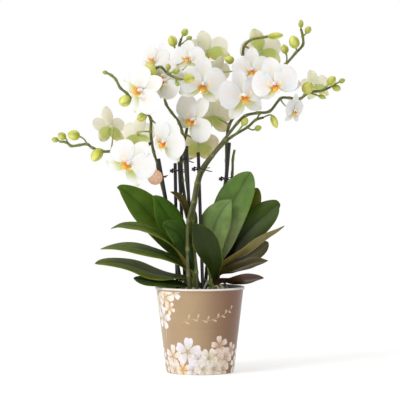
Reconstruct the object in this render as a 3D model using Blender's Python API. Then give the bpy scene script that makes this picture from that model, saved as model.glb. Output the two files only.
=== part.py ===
"""Potted moth orchid: two plants with arching flower spikes in a glazed cover pot.

Metres, +Z up. The origin is the centre of the cover pot's foot, and the plant's
best side faces -Y. The outer pot holds a thin grow pot filled with bark; stakes
stand in drilled holes in the bark, and crowns, leaves, spikes, flowers, clips
and the tag are placed from the values below. Nothing in the pot moves.
"""
import math

import bmesh
import bpy
import numpy as np
from mathutils import Matrix, Vector

MM = 0.001

# Cover pot
POT_HEIGHT = 96 * MM
POT_TOP_RADIUS = 49 * MM
POT_FOOT_RADIUS = 38 * MM
POT_WALL = 2.6 * MM
POT_FLOOR = 4.0 * MM
POT_FOOT_ROUND = 3.0 * MM
RIM_BEAD = 1.2 * MM

# Grow pot inside the cover pot
GROW_POT_INSET = 7.7 * MM
GROW_POT_WALL = 0.9 * MM
GROW_POT_LIP = 1.0 * MM
GROW_POT_CLEARANCE = 1.5 * MM
DRAIN_HOLES = 5
DRAIN_HOLE_RADIUS = 4.0 * MM
DRAIN_RING_RADIUS = 20 * MM

# Bark filling
HEADSPACE = 4.0 * MM
BARK_CROWNING = 3.0 * MM
TOUCH_GAP = 0.3 * MM

# Stakes, clips and tag
STAKE_RADIUS = 1.9 * MM
STAKE_CLEARANCE = 0.3 * MM
STAKE_FOOT = 30 * MM
CLIP_WIRE_RADIUS = 0.8 * MM
CLIP_CLEARANCE = 0.4 * MM
CLIP_GAP_DEG = 50
CLIP_GAP_FACING_DEG = 60
CLIP_SEGMENTS = 12
TAG_RADIUS = 8.5 * MM
TAG_THICKNESS = 1.6 * MM

# Plants
CROWN_RADIUS = 5.0 * MM
CROWN_TOP = 117 * MM
ROOT_RADIUS = 2.0 * MM
STEM_RADIUS = 2.1 * MM
STEM_TIP_RADIUS = 1.4 * MM
PEDICEL_RADIUS = 1.0 * MM
PEDICEL_BEND = 13 * MM
PEDICEL_GAP = 0.6 * MM
LEAF_RIB = 2.2 * MM
LEAF_EDGE = 1.0 * MM
PETAL_SPREAD = 26 * MM
PETAL_THICKNESS = 1.4 * MM
LIP_REACH = 8.0 * MM
LIP_SHARE = 0.2

# Facets: steps of the turned pieces, and how finely round bars are divided
SHARP_ANGLE = math.radians(40)
POT_STEPS = 40
GROW_POT_STEPS = 32
BARK_STEPS = 24
BAR_COARSE = 1
BAR_MEDIUM = 2
BAR_FINE = 6

# Levels that follow from the sizes above
GROW_POT_BASE = POT_FLOOR + TOUCH_GAP
GROW_POT_TOP = POT_HEIGHT - GROW_POT_INSET
BARK_BASE = GROW_POT_BASE + GROW_POT_WALL + TOUCH_GAP
BARK_TOP = GROW_POT_TOP - HEADSPACE
PLANT_BASE = BARK_TOP + BARK_CROWNING + TOUCH_GAP

# The plants were laid out on a pot of this height; they rise and sink with it.
LAYOUT_PLANT_BASE = 87.6 * MM
PLANT_SHIFT = PLANT_BASE - LAYOUT_PLANT_BASE

# Where the stakes enter the bark was laid out for a grow pot of this radius at its rim.
LAYOUT_OPENING = 44 * MM

# Crowns: centre in plan (mm), then the roots' far ends in plan (mm).
CROWNS = {
    "crown_left": ((-9, -9), [(-20, -30), (-6, -34)]),
    "crown_right": ((14, -4), [(29, -19), (16, 16)]),
}

# Stakes: top (mm), and the place where each passes the pot's rim level (mm).
RIM_LEVEL = 96
STAKES = {
    "stake_left": ((-46.5, 4.2, 239), (-21, 14)),
    "stake_mid_a": ((-28, 12, 234), (-26, 19)),
    "stake_mid_b": ((-24, 6, 246), (-17, 20)),
    "stake_mid_right": ((-15, -6, 253), (-9, 3)),
    "stake_centre": ((-2, -6, 246), (3, -15)),
    "stake_right": ((33, 4, 257), (20, 20)),
}

# Leaves: midrib points (mm), blade width (mm), and the way the upper side faces
# at the base and at the tip.
LEAVES = {
    "leaf_left_1": ([(-18, 1, 126), (-34, 3, 148), (-51, 5, 170), (-70, 4, 190), (-86, 1, 204),
                     (-93, -1, 207)], 36, (0.05, -1, 0.05), (0.35, -0.9, 0.35)),
    "leaf_left_2": ([(-15, -6, 128), (-22, -4, 148), (-32, -3, 167), (-42, -7, 184),
                     (-49, -12, 194), (-53, -14, 197)], 32, (0.2, -1, 0.2), (0.4, -0.85, 0.3)),
    "leaf_left_3": ([(-12, -15, 126), (-17, -18, 141), (-21, -21, 151), (-28, -27, 159),
                     (-37, -33, 164), (-41, -36, 165)], 28, (0.2, -0.9, 0.35), (0.1, -0.8, 0.6)),
    "leaf_left_4": ([(-16, -15, 119), (-28, -22, 139.5), (-45, -25, 154.5), (-62, -24, 163),
                     (-75, -23, 165), (-88, -20, 165), (-99, -17, 161)], 36, (0.35, -0.05, 0.9),
                    (0, -0.25, 1)),
    "leaf_left_5": ([(-15, -12, 114), (-35, -13, 129), (-56, -14, 136), (-75, -14, 140),
                     (-91, -14, 141), (-102, -13, 140), (-111, -12, 138)], 38, (0.1, -0.3, 1),
                    (0, -0.22, 1)),
    "leaf_left_6": ([(-15, -10, 103), (-33, -10, 107), (-55, -9, 112), (-75, -9, 119),
                     (-93, -10, 123), (-107, -12, 124), (-117, -14, 122)], 42, (0, -0.2, 1),
                    (0, -0.35, 1)),
    "leaf_left_7": ([(-19, -14, 97), (-34, -15, 100), (-51, -15, 102), (-64, -15, 104),
                     (-74, -15, 106)], 30, (0, -0.35, 1), (0, -0.35, 1)),
    "leaf_right_1": ([(18, -2, 124), (23, 0, 143), (27, 1, 161), (32, 1, 178), (38, 1, 193),
                      (45, 1, 205), (51, 2, 215), (57, 4, 224)], 41, (-0.2, -1, 0.1),
                     (-0.2, -1, 0.1)),
    "leaf_right_2": ([(14, -9, 121), (13, -8, 138), (14, -8, 155), (19, -9, 171), (27, -10, 184),
                      (35, -11, 193)], 36, (-0.2, -1, 0.1), (-0.2, -1, 0.1)),
    "leaf_right_3": ([(15, -14, 111), (13, -22, 124), (7, -30, 139), (1.5, -35, 154), (-4, -37.5, 163),
                      (-8, -39, 167)], 31, (0.3, 1, 0.3), (0.3, 1, 0.3)),
    "leaf_right_4": ([(23, 2, 121), (34, 2, 139), (49, 3, 153), (63, 3, 167), (76, 3, 178),
                      (85, 2, 186), (90, 2, 188)], 36, (-0.1, -1, 0.15), (-0.2, -0.9, 0.3)),
    "leaf_right_5": ([(20, 8, 127), (31, 9, 144), (42, 10, 161), (52, 10, 179), (60, 10, 195),
                      (65, 10, 206)], 28, (-0.1, -1, 0.1), (-0.1, -1, 0.1)),
    "leaf_right_6": ([(22, -10, 115), (36, -13, 126), (52, -14, 134), (66, -14, 143.5), (78, -13, 152),
                      (87, -12, 158), (94, -11, 164)], 38, (-0.55, 0.28, 0.8), (-0.55, 0.28, 0.8)),
    "leaf_right_7": ([(23, 7, 113), (36, 11, 119.5), (50, 12, 127), (62, 12, 134), (71, 12, 140),
                      (77, 12, 145)], 32, (-0.3, 0.5, 0.7), (-0.35, 0.75, 0.5)),
    "leaf_right_8": ([(21, -6, 108), (35, -8, 114), (49, -9, 119), (61, -9, 123), (70, -9, 124),
                      (76, -9, 125)], 30, (-0.25, 0.45, 0.8), (-0.15, 0.45, 0.85)),
    "leaf_right_9": ([(21, -10, 100), (35, -13, 102), (46, -15, 104), (57, -16, 105),
                      (65, -16, 106), (71, -16, 106)], 31, (-0.05, 0.4, 0.9), (-0.05, 0.4, 0.9)),
    "leaf_young_1": ([(-15, -9, 172), (-18, -10, 182), (-22, -10, 190), (-27, -10, 197),
                      (-33, -10, 202)], 16, (0.6, -0.5, 0.6), (0.6, -0.5, 0.6)),
    "leaf_young_2": ([(-8, -14, 146), (-8, -14, 161), (-8, -13, 174), (-8, -12, 180), (-7, -11, 185)],
                     12, (0, -1, 0.2), (0, -1, 0.2)),
}
LEAF_STATIONS = 8
LEAF_BASE_SHARE = 0.36
LEAF_BROADEST = 0.6
LEAF_FOLD_DEG = 9

# Spikes: each branch is a list of points (mm). A side branch starts at a point
# of the spike's main stem, named by its place in that list.
SPIKES = {
    "spike_left": {
        "main": [(-12, 8, 90), (-14, 22, 110), (-22, 25, 132), (-32, 20, 161), (-39, 13, 193),
                 (-44, 10, 214), (-49, 8, 235), (-52, 4, 247), (-54, -2, 257), (-55, -3, 269),
                 (-55, -2, 283), (-61, 0, 291), (-68, 2, 297), (-76, 2, 305), (-82, 0, 312),
                 (-89, -2, 318), (-94, -3, 327), (-99, -4, 332), (-103, -4, 334)],
        "low": [8, (-63, -8, 251), (-78, -12, 247), (-99, -12, 247), (-108, -10, 247),
                (-120, -8, 251), (-126, -6, 255), (-135, -5, 254), (-144, -4, 253),
                (-149, -3, 257), (-157, -2, 258)],
    },
    "spike_mid": {
        "main": [(-4, 9, 90), (-8, 7, 116), (-11, 7, 153), (-12, 4, 187), (-15, 2, 215),
                 (-17, 0, 237), (-18, 0, 253), (-20, 0, 269), (-24, 0, 280), (-32, 2, 291),
                 (-38, 3, 300), (-40, 4, 309), (-42, 5, 321), (-44, 6, 328), (-42, 6, 335)],
        "twig": [12, (-52, -1, 323), (-55, -8, 331), (-50, -17, 338), (-43, -23, 340),
                 (-35, -29, 332), (-25, -33, 327), (-20, -34.5, 326)],
    },
    "spike_top": {
        "main": [(0, 14, 90), (-6, 14, 116), (-11, 15, 153), (-16, 14, 187), (-20, 12, 215),
                 (-21, 11, 235), (-20, 10, 251), (-16, 10, 266), (-14, 10, 280), (-15, 10, 299),
                 (-17, 10, 319), (-19, 10, 339), (-22, 10, 356), (-23, 10, 366), (-21, 10, 374)],
    },
    "spike_right": {
        "main": [(6, 9, 90), (8, 14, 116), (15, 16, 147), (23, 15, 187), (29, 13, 215),
                 (30, 12, 237), (30, 11, 258), (33, 8, 277), (42, 5, 291), (52, 2, 307),
                 (64, 2, 320), (78, 2, 332), (96, 2, 345), (107, 2, 357), (115, 2, 366),
                 (115, 2, 376), (113, 2, 384)],
        "upper": [8, (43, 9, 305), (44, 11, 318), (46, 13, 339), (48, 14, 355), (50, 14, 366),
                  (58, 14, 373), (69, 12, 375), (76, 11, 376)],
        "stub": [2, (26, 18, 175), (33, 18, 200), (36.5, 16, 222), (37, 14, 238), (39, 14, 249)],
    },
    "spike_long": {
        "main": [(-11, -22, 90), (-13, -24, 110), (-14, -26, 139), (-13, -25, 170), (-8, -23, 191),
                 (-4, -19, 212), (1, -16, 227), (13, -13, 243), (27, -9, 260), (42, -5, 279),
                 (51, -3, 287), (64, -1, 290), (78, 0, 292), (90, 2, 306), (100, 3, 307),
                 (112, 3, 306), (122, 3, 313), (136, 2, 315), (146, 2, 319)],
    },
    "spike_short": {
        "main": [(-3, -21, 90), (-4, -20, 113), (-7, -18, 143), (-8, -19, 170), (-5, -17, 191),
                 (-1, -13, 212), (4, -10, 226), (14, -7, 241), (24, -4, 253), (35, -2, 263),
                 (53, 0, 274), (62, 0, 282), (71, 3, 285)],
    },
}
STEM_POINTS_PER_SPAN = 1
STALK_SPANS = 3

# Flowers: spike, branch and point they grow from, centre (mm), then degrees:
# turn to the right, upward tilt, clockwise roll; and size against a full flower.
FLOWERS = {
    "flower_01": ("spike_mid", "main", 13, (-51, 32, 352.5), -40, 20, 20, 0.80),
    "flower_02": ("spike_left", "main", 13, (-64, -26, 315), -35, -5, 70, 1.0),
    "flower_03": ("spike_mid", "main", 12, (-37, -14, 326), -35, 5, 75, 0.85),
    "flower_04": ("spike_top", "main", 10, (3, -20, 322), 5, 0, 3, 1.0),
    "flower_05": ("spike_right", "main", 9, (47, -30, 309), 25, 0, -15, 1.0),
    "flower_06": ("spike_right", "main", 11, (82, -34, 321), -5, 5, -12, 1.0),
    "flower_07": ("spike_right", "main", 10, (58, -6, 338), 0, 10, 0, 0.85),
    "flower_08": ("spike_top", "main", 12, (7, 26, 360), 170, 10, 10, 0.9),
    "flower_09": ("spike_right", "upper", 3, (20, 16, 337), -150, 10, -10, 0.6),
    "flower_10": ("spike_right", "upper", 5, (69, 28, 361), 170, 20, 15, 0.9),
    "flower_11": ("spike_top", "main", 8, (-6, -6, 283.5), -35, -5, 40, 0.96),
    "flower_12": ("spike_left", "main", 10, (-38, -26, 259), -35, -10, 35, 0.95),
    "flower_13": ("spike_left", "low", 2, (-77, -36, 235), -15, -10, 45, 1.0),
    "flower_14": ("spike_left", "low", 3, (-101, -13, 274), -145, -15, 0, 0.8),
    "flower_15": ("spike_left", "main", 9, (-70, 16, 266), 160, -20, 0, 0.8),
    "flower_16": ("spike_top", "main", 7, (-1, 30, 255), 175, -20, 0, 0.85),
    "flower_17": ("spike_right", "main", 7, (15, 26, 287), 165, -10, 0, 0.85),
    "flower_18": ("spike_long", "main", 16, (130, 21, 322), 150, 20, 10, 0.68),
    "flower_19": ("spike_long", "main", 13, (104, -19, 293), 50, -10, 0, 0.6),
    "flower_20": ("spike_top", "main", 11, (-14, -10, 351), -10, 25, 0, 0.75),
}

# Tepals: direction (degrees, anticlockwise from the right), length share of the
# petal spread, half width in degrees.
TEPALS = [(90, 1.18, 22), (14, 1.0, 33), (166, 1.0, 33), (-47, 1.08, 22), (227, 1.08, 22)]
TEPAL_WAIST = 0.42
FLOWER_OUTLINE_POINTS = 30

# Buds: spike, branch and point they grow from, centre (mm), the way the tip
# points, length and width (mm).
BUDS = [
    ("spike_left", "main", 10, (-65, -8, 285), (-0.7, -0.4, -0.5), 13, 10),
    ("spike_left", "main", 13, (-84, -9, 303), (-0.5, -0.6, -0.3), 16, 13),
    ("spike_left", "main", 18, (-106, -4, 335), (-1, 0, 0.2), 6, 5),
    ("spike_left", "low", 4, (-115, -11, 243), (-0.6, 0, -0.8), 17, 13),
    ("spike_left", "low", 6, (-141, -5, 265), (-0.9, 0, 0.2), 14, 12),
    ("spike_left", "low", 9, (-154, -8, 264), (-0.8, 0, 0.5), 10, 9),
    ("spike_left", "low", 10, (-162, -2, 260), (-1, 0, 0.2), 8, 6.5),
    ("spike_mid", "twig", 2, (-55, -15, 337), (-0.2, -0.5, 0.6), 18, 16),
    ("spike_mid", "twig", 5, (-35, -30, 340), (0.1, 0, 0.9), 7, 6),
    ("spike_mid", "twig", 5, (-26, -31, 335), (0.8, 0, 0.2), 8, 7),
    ("spike_mid", "twig", 6, (-25, -34, 321), (0.3, -0.3, -0.7), 6, 5),
    ("spike_mid", "twig", 7, (-12, -33.5, 327), (0.9, 0.1, 0.1), 13, 11),
    ("spike_top", "main", 12, (-31, 8, 371), (-0.3, 0, 0.9), 13, 11),
    ("spike_top", "main", 14, (-17, 10, 381), (0.5, 0, 0.8), 9, 8),
    ("spike_top", "main", 13, (-12, 8, 374), (0.7, 0, 0.5), 7, 6),
    ("spike_right", "upper", 4, (33, 9, 350), (-0.8, -0.3, 0.3), 11, 10),
    ("spike_right", "upper", 8, (85, 10, 377), (1, 0, 0.1), 17, 8),
    ("spike_right", "main", 12, (95, 8, 362), (-0.3, 0, 0.9), 11, 9),
    ("spike_right", "main", 13, (105, -6, 369), (-0.3, -0.2, 0.9), 15, 12),
    ("spike_right", "main", 15, (121, 2, 383), (0.5, 0, 0.8), 9, 7.5),
    ("spike_right", "main", 16, (113, 2, 390), (0, 0, 1), 9, 6),
    ("spike_long", "main", 15, (120, -8, 318), (0.4, -0.3, 0.8), 15, 13),
    ("spike_long", "main", 17, (147, -2, 326), (0.6, 0, 0.7), 12, 10),
    ("spike_long", "main", 18, (153, 3, 318), (0.9, 0, -0.3), 10, 8),
    ("spike_long", "main", 18, (159, 0, 326), (0.9, 0, 0.4), 7, 6),
    ("spike_long", "main", 16, (137, 3, 308), (0.9, 0, -0.3), 9, 5),
    ("spike_short", "main", 9, (50, -7, 280), (0.5, -0.2, 0.8), 10, 8),
    ("spike_short", "main", 11, (67, 3, 290), (0.4, 0, 0.9), 5, 4),
    ("spike_short", "main", 10, (65, -3, 273), (0.7, 0, 0.3), 8, 7),
    ("spike_short", "main", 12, (83, -7, 280), (0.2, -0.5, -0.6), 19, 8),
]

# Clips: height (mm), and what each one ties together, a stake with stems.
CLIPS = {
    "clip_centre": (227, ["stake_centre", "spike_long", "spike_short"]),
    "clip_mid_left": (225, ["stake_mid_a", "stake_mid_b", "spike_top"]),
    "clip_mid_right": (237, ["stake_mid_right", "spike_mid"]),
    "clip_right": (216, ["stake_right", "spike_right"]),
}
TAG_TIES = (218, ["stake_left", "spike_left"])
TAG_OFFSET = (-6.5 * MM, 0)


def clear_scene():
    for old in list(bpy.data.objects):
        bpy.data.objects.remove(old, do_unlink=True)


def linear(code):
    """An sRGB hex colour as linear RGBA."""
    channels = [int(code[i:i + 2], 16) / 255 for i in (0, 2, 4)]
    return [c / 12.92 if c <= 0.04045 else ((c + 0.055) / 1.055) ** 2.4 for c in channels] + [1.0]


def finish(name, code, roughness):
    mat = bpy.data.materials.new(name)
    mat.use_nodes = True
    shader = mat.node_tree.nodes["Principled BSDF"]
    shader.inputs["Base Color"].default_value = linear(code)
    shader.inputs["Roughness"].default_value = roughness
    shader.inputs["Metallic"].default_value = 0.0
    return mat


def make_finishes():
    return {
        "pot": finish("glazed_pot", "A98F70", 0.35),
        "grow_pot": finish("grow_pot_plastic", "2A2A2C", 0.5),
        "bark": finish("bark_chips", "5A3A22", 0.9),
        "crown": finish("crown_and_roots", "7F8A4C", 0.6),
        "leaf": finish("leaf_green", "4E7A35", 0.4),
        "stem": finish("spike_green", "4F5428", 0.5),
        "petal": finish("petal_white", "F4EFF3", 0.6),
        "stake": finish("stake_plastic", "1F1D1E", 0.45),
        "clip": finish("clip_plastic", "1A191B", 0.4),
        "tag": finish("tag_plastic", "E9B795", 0.5),
    }


def place_mesh(name, mesh, mat):
    mesh.name = name
    mesh.materials.clear()
    mesh.materials.append(mat)
    mesh.shade_smooth()
    mesh.set_sharp_from_angle(angle=SHARP_ANGLE)
    obj = bpy.data.objects.new(name, mesh)
    bpy.context.scene.collection.objects.link(obj)
    return obj


def mesh_from_bmesh(bm):
    bmesh.ops.recalc_face_normals(bm, faces=bm.faces)
    mesh = bpy.data.meshes.new("piece")
    bm.to_mesh(mesh)
    bm.free()
    return mesh


def turned_solid(profile, steps):
    """An open outline from the bottom centre to the top centre, spun round Z."""
    bm = bmesh.new()
    verts = [bm.verts.new((r, 0, z)) for r, z in profile]
    edges = [bm.edges.new((a, b)) for a, b in zip(verts, verts[1:])]
    bmesh.ops.spin(bm, geom=verts + edges, axis=(0, 0, 1), cent=(0, 0, 0), steps=steps,
                   angle=math.tau, use_merge=True)
    bmesh.ops.remove_doubles(bm, verts=bm.verts, dist=1e-6)
    bmesh.ops.dissolve_degenerate(bm, edges=bm.edges, dist=1e-7)
    return mesh_from_bmesh(bm)


def smooth_curve(points, per_span):
    """Catmull-Rom curve through the points, per_span samples between neighbours."""
    p = np.array(points, dtype=float)
    p = np.vstack([2 * p[0] - p[1], p, 2 * p[-1] - p[-2]])
    out = []
    for a, b, c, d in zip(p, p[1:], p[2:], p[3:]):
        for t in np.arange(per_span) / per_span:
            out.append(0.5 * (2 * b + (c - a) * t + (2 * a - 5 * b + 4 * c - d) * t ** 2
                              + (3 * b - a - 3 * c + d) * t ** 3))
    out.append(p[-2])
    return np.array(out)


def tube(points, radius_start, radius_end, bevel_resolution):
    """A round bar along the points, tapering evenly, with closed ends."""
    curve = bpy.data.curves.new("bar", "CURVE")
    curve.dimensions = "3D"
    curve.bevel_depth = 1.0
    curve.bevel_resolution = bevel_resolution
    curve.use_fill_caps = True
    spline = curve.splines.new("POLY")
    spline.points.add(len(points) - 1)
    for i, (point, place) in enumerate(zip(spline.points, points)):
        point.co = (*place, 1.0)
        point.radius = radius_start + (radius_end - radius_start) * i / (len(points) - 1)
    holder = bpy.data.objects.new("bar", curve)
    bpy.context.scene.collection.objects.link(holder)
    bpy.context.view_layer.update()
    mesh = bpy.data.meshes.new_from_object(holder)
    bpy.data.objects.remove(holder)
    bm = bmesh.new()
    bm.from_mesh(mesh)
    bmesh.ops.remove_doubles(bm, verts=bm.verts, dist=1e-7)
    return mesh_from_bmesh(bm)


def ring_arc(centre, radius):
    """A clip's round wire, bent into a C."""
    start = math.radians(CLIP_GAP_FACING_DEG + CLIP_GAP_DEG / 2)
    sweep = math.radians(360 - CLIP_GAP_DEG)
    angles = [start + sweep * i / CLIP_SEGMENTS for i in range(CLIP_SEGMENTS + 1)]
    points = [(centre[0] + radius * math.cos(a), centre[1] + radius * math.sin(a), centre[2])
              for a in angles]
    return tube(points, CLIP_WIRE_RADIUS, CLIP_WIRE_RADIUS, BAR_COARSE)


def ball(centre, heading, length, width):
    """A bud: a sphere stretched along its heading."""
    bm = bmesh.new()
    bmesh.ops.create_uvsphere(bm, u_segments=8, v_segments=5, radius=1.0)
    turn = Vector(heading).normalized().to_track_quat("Z", "Y").to_matrix().to_4x4()
    size = Matrix.Diagonal((width / 2, width / 2, length / 2, 1.0))
    bmesh.ops.transform(bm, matrix=Matrix.Translation(centre) @ turn @ size, verts=bm.verts)
    return mesh_from_bmesh(bm)


def joined(name, meshes, mat):
    """One solid from several overlapping ones: the first is kept, the rest are united with it."""
    base = place_mesh(name, meshes[0], mat)
    group = bpy.data.collections.new(name + "_shoots")
    bpy.context.scene.collection.children.link(group)
    for i, mesh in enumerate(meshes[1:]):
        guide = bpy.data.objects.new(f"{name}_shoot_{i}", mesh)
        guide.hide_render = True
        guide.display_type = "WIRE"
        group.objects.link(guide)
    union = base.modifiers.new("union", "BOOLEAN")
    union.operation = "UNION"
    union.operand_type = "COLLECTION"
    union.collection = group
    union.solver = "EXACT"
    return base


def cut(base, mesh, name):
    guide = bpy.data.objects.new(name, mesh)
    guide.hide_render = True
    guide.display_type = "WIRE"
    bpy.context.scene.collection.objects.link(guide)
    hole = base.modifiers.new(name, "BOOLEAN")
    hole.operation = "DIFFERENCE"
    hole.object = guide
    hole.solver = "EXACT"


def lifted(point):
    """A plant point in mm as metres, raised with the plant's base."""
    return Vector((point[0] * MM, point[1] * MM, point[2] * MM + PLANT_SHIFT))


def pot_outer_radius(z):
    return POT_FOOT_RADIUS + (POT_TOP_RADIUS - POT_FOOT_RADIUS) * z / POT_HEIGHT


def grow_pot_radius(z):
    """Outer radius of the grow pot, held clear of the cover pot's wall."""
    return pot_outer_radius(z) - POT_WALL - GROW_POT_CLEARANCE


def make_cover_pot(mat):
    inner_floor = pot_outer_radius(POT_FLOOR) - POT_WALL
    inner_rim = POT_TOP_RADIUS - POT_WALL
    r = POT_FOOT_ROUND
    outline = [(0, 0), (POT_FOOT_RADIUS - r, 0), (POT_FOOT_RADIUS - 0.3 * r, 0.3 * r),
               (pot_outer_radius(r), r),
               (pot_outer_radius(POT_HEIGHT - 3 * RIM_BEAD), POT_HEIGHT - 3 * RIM_BEAD),
               (POT_TOP_RADIUS + RIM_BEAD, POT_HEIGHT - 1.7 * RIM_BEAD),
               (POT_TOP_RADIUS + RIM_BEAD, POT_HEIGHT - 0.6 * RIM_BEAD),
               (POT_TOP_RADIUS, POT_HEIGHT), (inner_rim, POT_HEIGHT),
               (inner_floor, POT_FLOOR), (0, POT_FLOOR)]
    place_mesh("pot_cover", turned_solid(outline, POT_STEPS), mat)


def make_grow_pot(mat):
    wall = GROW_POT_WALL
    low = grow_pot_radius(GROW_POT_BASE)
    high = grow_pot_radius(GROW_POT_TOP)
    outline = [(0, GROW_POT_BASE), (low, GROW_POT_BASE), (high, GROW_POT_TOP - 2 * GROW_POT_LIP),
               (high + GROW_POT_LIP, GROW_POT_TOP - 2 * GROW_POT_LIP),
               (high + GROW_POT_LIP, GROW_POT_TOP), (high - wall, GROW_POT_TOP),
               (low - wall, GROW_POT_BASE + wall), (0, GROW_POT_BASE + wall)]
    pot = place_mesh("grow_pot", turned_solid(outline, GROW_POT_STEPS), mat)
    for i in range(DRAIN_HOLES):
        angle = math.tau * (i + 0.5) / DRAIN_HOLES
        x, y = DRAIN_RING_RADIUS * math.cos(angle), DRAIN_RING_RADIUS * math.sin(angle)
        bar = tube([(x, y, GROW_POT_BASE - wall), (x, y, GROW_POT_BASE + 2 * wall)],
                   DRAIN_HOLE_RADIUS, DRAIN_HOLE_RADIUS, BAR_MEDIUM)
        cut(pot, bar, f"drain_hole_{i}")


def stake_line(name):
    """Top and foot of a stake: it passes the rim level at its given place in the grow pot's mouth."""
    top, (rim_x, rim_y) = STAKES[name]
    head = lifted(top)
    spread = grow_pot_radius(GROW_POT_TOP) / LAYOUT_OPENING
    rim = lifted((rim_x * spread, rim_y * spread, RIM_LEVEL))
    down = (head - rim) / (head.z - rim.z)
    return head, rim - down * (rim.z - STAKE_FOOT)


def make_bark(mat):
    low = grow_pot_radius(BARK_BASE) - GROW_POT_WALL - TOUCH_GAP
    high = grow_pot_radius(BARK_TOP) - GROW_POT_WALL - TOUCH_GAP
    outline = [(0, BARK_BASE), (low, BARK_BASE), (high, BARK_TOP),
               (0.7 * high, BARK_TOP + 0.6 * BARK_CROWNING), (0, BARK_TOP + BARK_CROWNING)]
    bark = place_mesh("bark", turned_solid(outline, BARK_STEPS), mat)
    for name in STAKES:
        head, foot = stake_line(name)
        way = (head - foot).normalized()
        mouth = foot + way * (BARK_TOP + 4 * BARK_CROWNING - STAKE_FOOT)
        radius = STAKE_RADIUS + STAKE_CLEARANCE
        bar = tube([foot - way * STAKE_CLEARANCE, mouth], radius, radius, BAR_COARSE)
        cut(bark, bar, name + "_hole")


def make_stakes(mat):
    for name in STAKES:
        head, foot = stake_line(name)
        place_mesh(name, tube([foot, head], STAKE_RADIUS, STAKE_RADIUS, BAR_COARSE), mat)


def make_crowns(mat):
    """A short stem with roots that arch out and rest on the bark."""
    for name, ((x, y), ends) in CROWNS.items():
        base = PLANT_BASE
        top = CROWN_TOP + PLANT_SHIFT
        centre = Vector((x * MM, y * MM, 0))
        stem = tube([centre + Vector((0, 0, z)) for z in (base, 0.5 * (base + top), top)],
                    CROWN_RADIUS, 0.8 * CROWN_RADIUS, BAR_MEDIUM)
        roots = []
        for end_x, end_y in ends:
            end = Vector((end_x * MM, end_y * MM, base + ROOT_RADIUS))
            start = centre + Vector((0, 0, base + 2.5 * ROOT_RADIUS))
            arch = (start + end) / 2 + Vector((0, 0, 2 * ROOT_RADIUS))
            line = smooth_curve([start, arch, end], 3)
            roots.append(tube(line, ROOT_RADIUS, 0.8 * ROOT_RADIUS, BAR_COARSE))
        joined(name, [stem] + roots, mat)


def blade_share(t):
    """Width of a blade against its full width, t from base 0 to tip 1."""
    grow = LEAF_BASE_SHARE + (1 - LEAF_BASE_SHARE) * math.sin(math.pi / 2 * min(t / LEAF_BROADEST, 1))
    past = max(t - LEAF_BROADEST, 0) / (1 - LEAF_BROADEST)
    return grow * math.sqrt(max(1 - past ** 2.4, 0.02))


def make_leaf(name, midrib, width, face_base, face_tip, mat):
    """A strap blade: six-sided sections along the midrib, folded up a little at the rib."""
    line = smooth_curve([lifted(p) for p in midrib], 8)
    steps = np.linspace(0, 1, LEAF_STATIONS) ** 0.85
    places = steps * (len(line) - 1)
    fold = math.tan(math.radians(LEAF_FOLD_DEG))
    bm = bmesh.new()
    loops = []
    for t, place in zip(steps, places):
        low = min(int(place), len(line) - 2)
        spot = Vector(line[low] + (line[low + 1] - line[low]) * (place - low))
        along = Vector(line[min(low + 2, len(line) - 1)] - line[max(low - 1, 0)]).normalized()
        face = Vector(face_base).lerp(Vector(face_tip), t)
        side = along.cross(face).normalized()
        up = side.cross(along).normalized()
        half = 0.5 * width * MM * blade_share(t)
        rise = up * (half * fold)
        edge = up * (LEAF_EDGE / 2)
        rib = up * min(LEAF_RIB / 2, half / 2)
        corners = [spot - side * half + rise + edge, spot + rib, spot + side * half + rise + edge,
                   spot + side * half + rise - edge, spot - rib, spot - side * half + rise - edge]
        loops.append([bm.verts.new(c) for c in corners])
    for ring, following in zip(loops, loops[1:]):
        for i in range(6):
            j = (i + 1) % 6
            bm.faces.new((ring[i], ring[j], following[j], following[i]))
    bm.faces.new(reversed(loops[0]))
    bm.faces.new(loops[-1])
    place_mesh(name, mesh_from_bmesh(bm), mat)


def flower_axes(turn, tilt, roll):
    """Right, up and facing directions of a flower, as the columns of a matrix."""
    facing = Matrix.Rotation(math.radians(turn), 3, "Z") @ Matrix.Rotation(math.radians(-tilt), 3, "X")
    upright = Matrix(((1, 0, 0), (0, 0, -1), (0, 1, 0)))
    return facing @ upright @ Matrix.Rotation(math.radians(-roll), 3, "Z")


def tepal_radius(angle):
    """Outline of an open flower: the farthest of five rounded lobes at this angle."""
    reach = TEPAL_WAIST
    for direction, length, half_width in TEPALS:
        off = abs((math.degrees(angle) - direction + 180) % 360 - 180) / half_width
        if off < 1:
            reach = max(reach, length * (TEPAL_WAIST + (1 - TEPAL_WAIST) * (1 - off ** 3) ** 0.6))
    return reach


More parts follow.
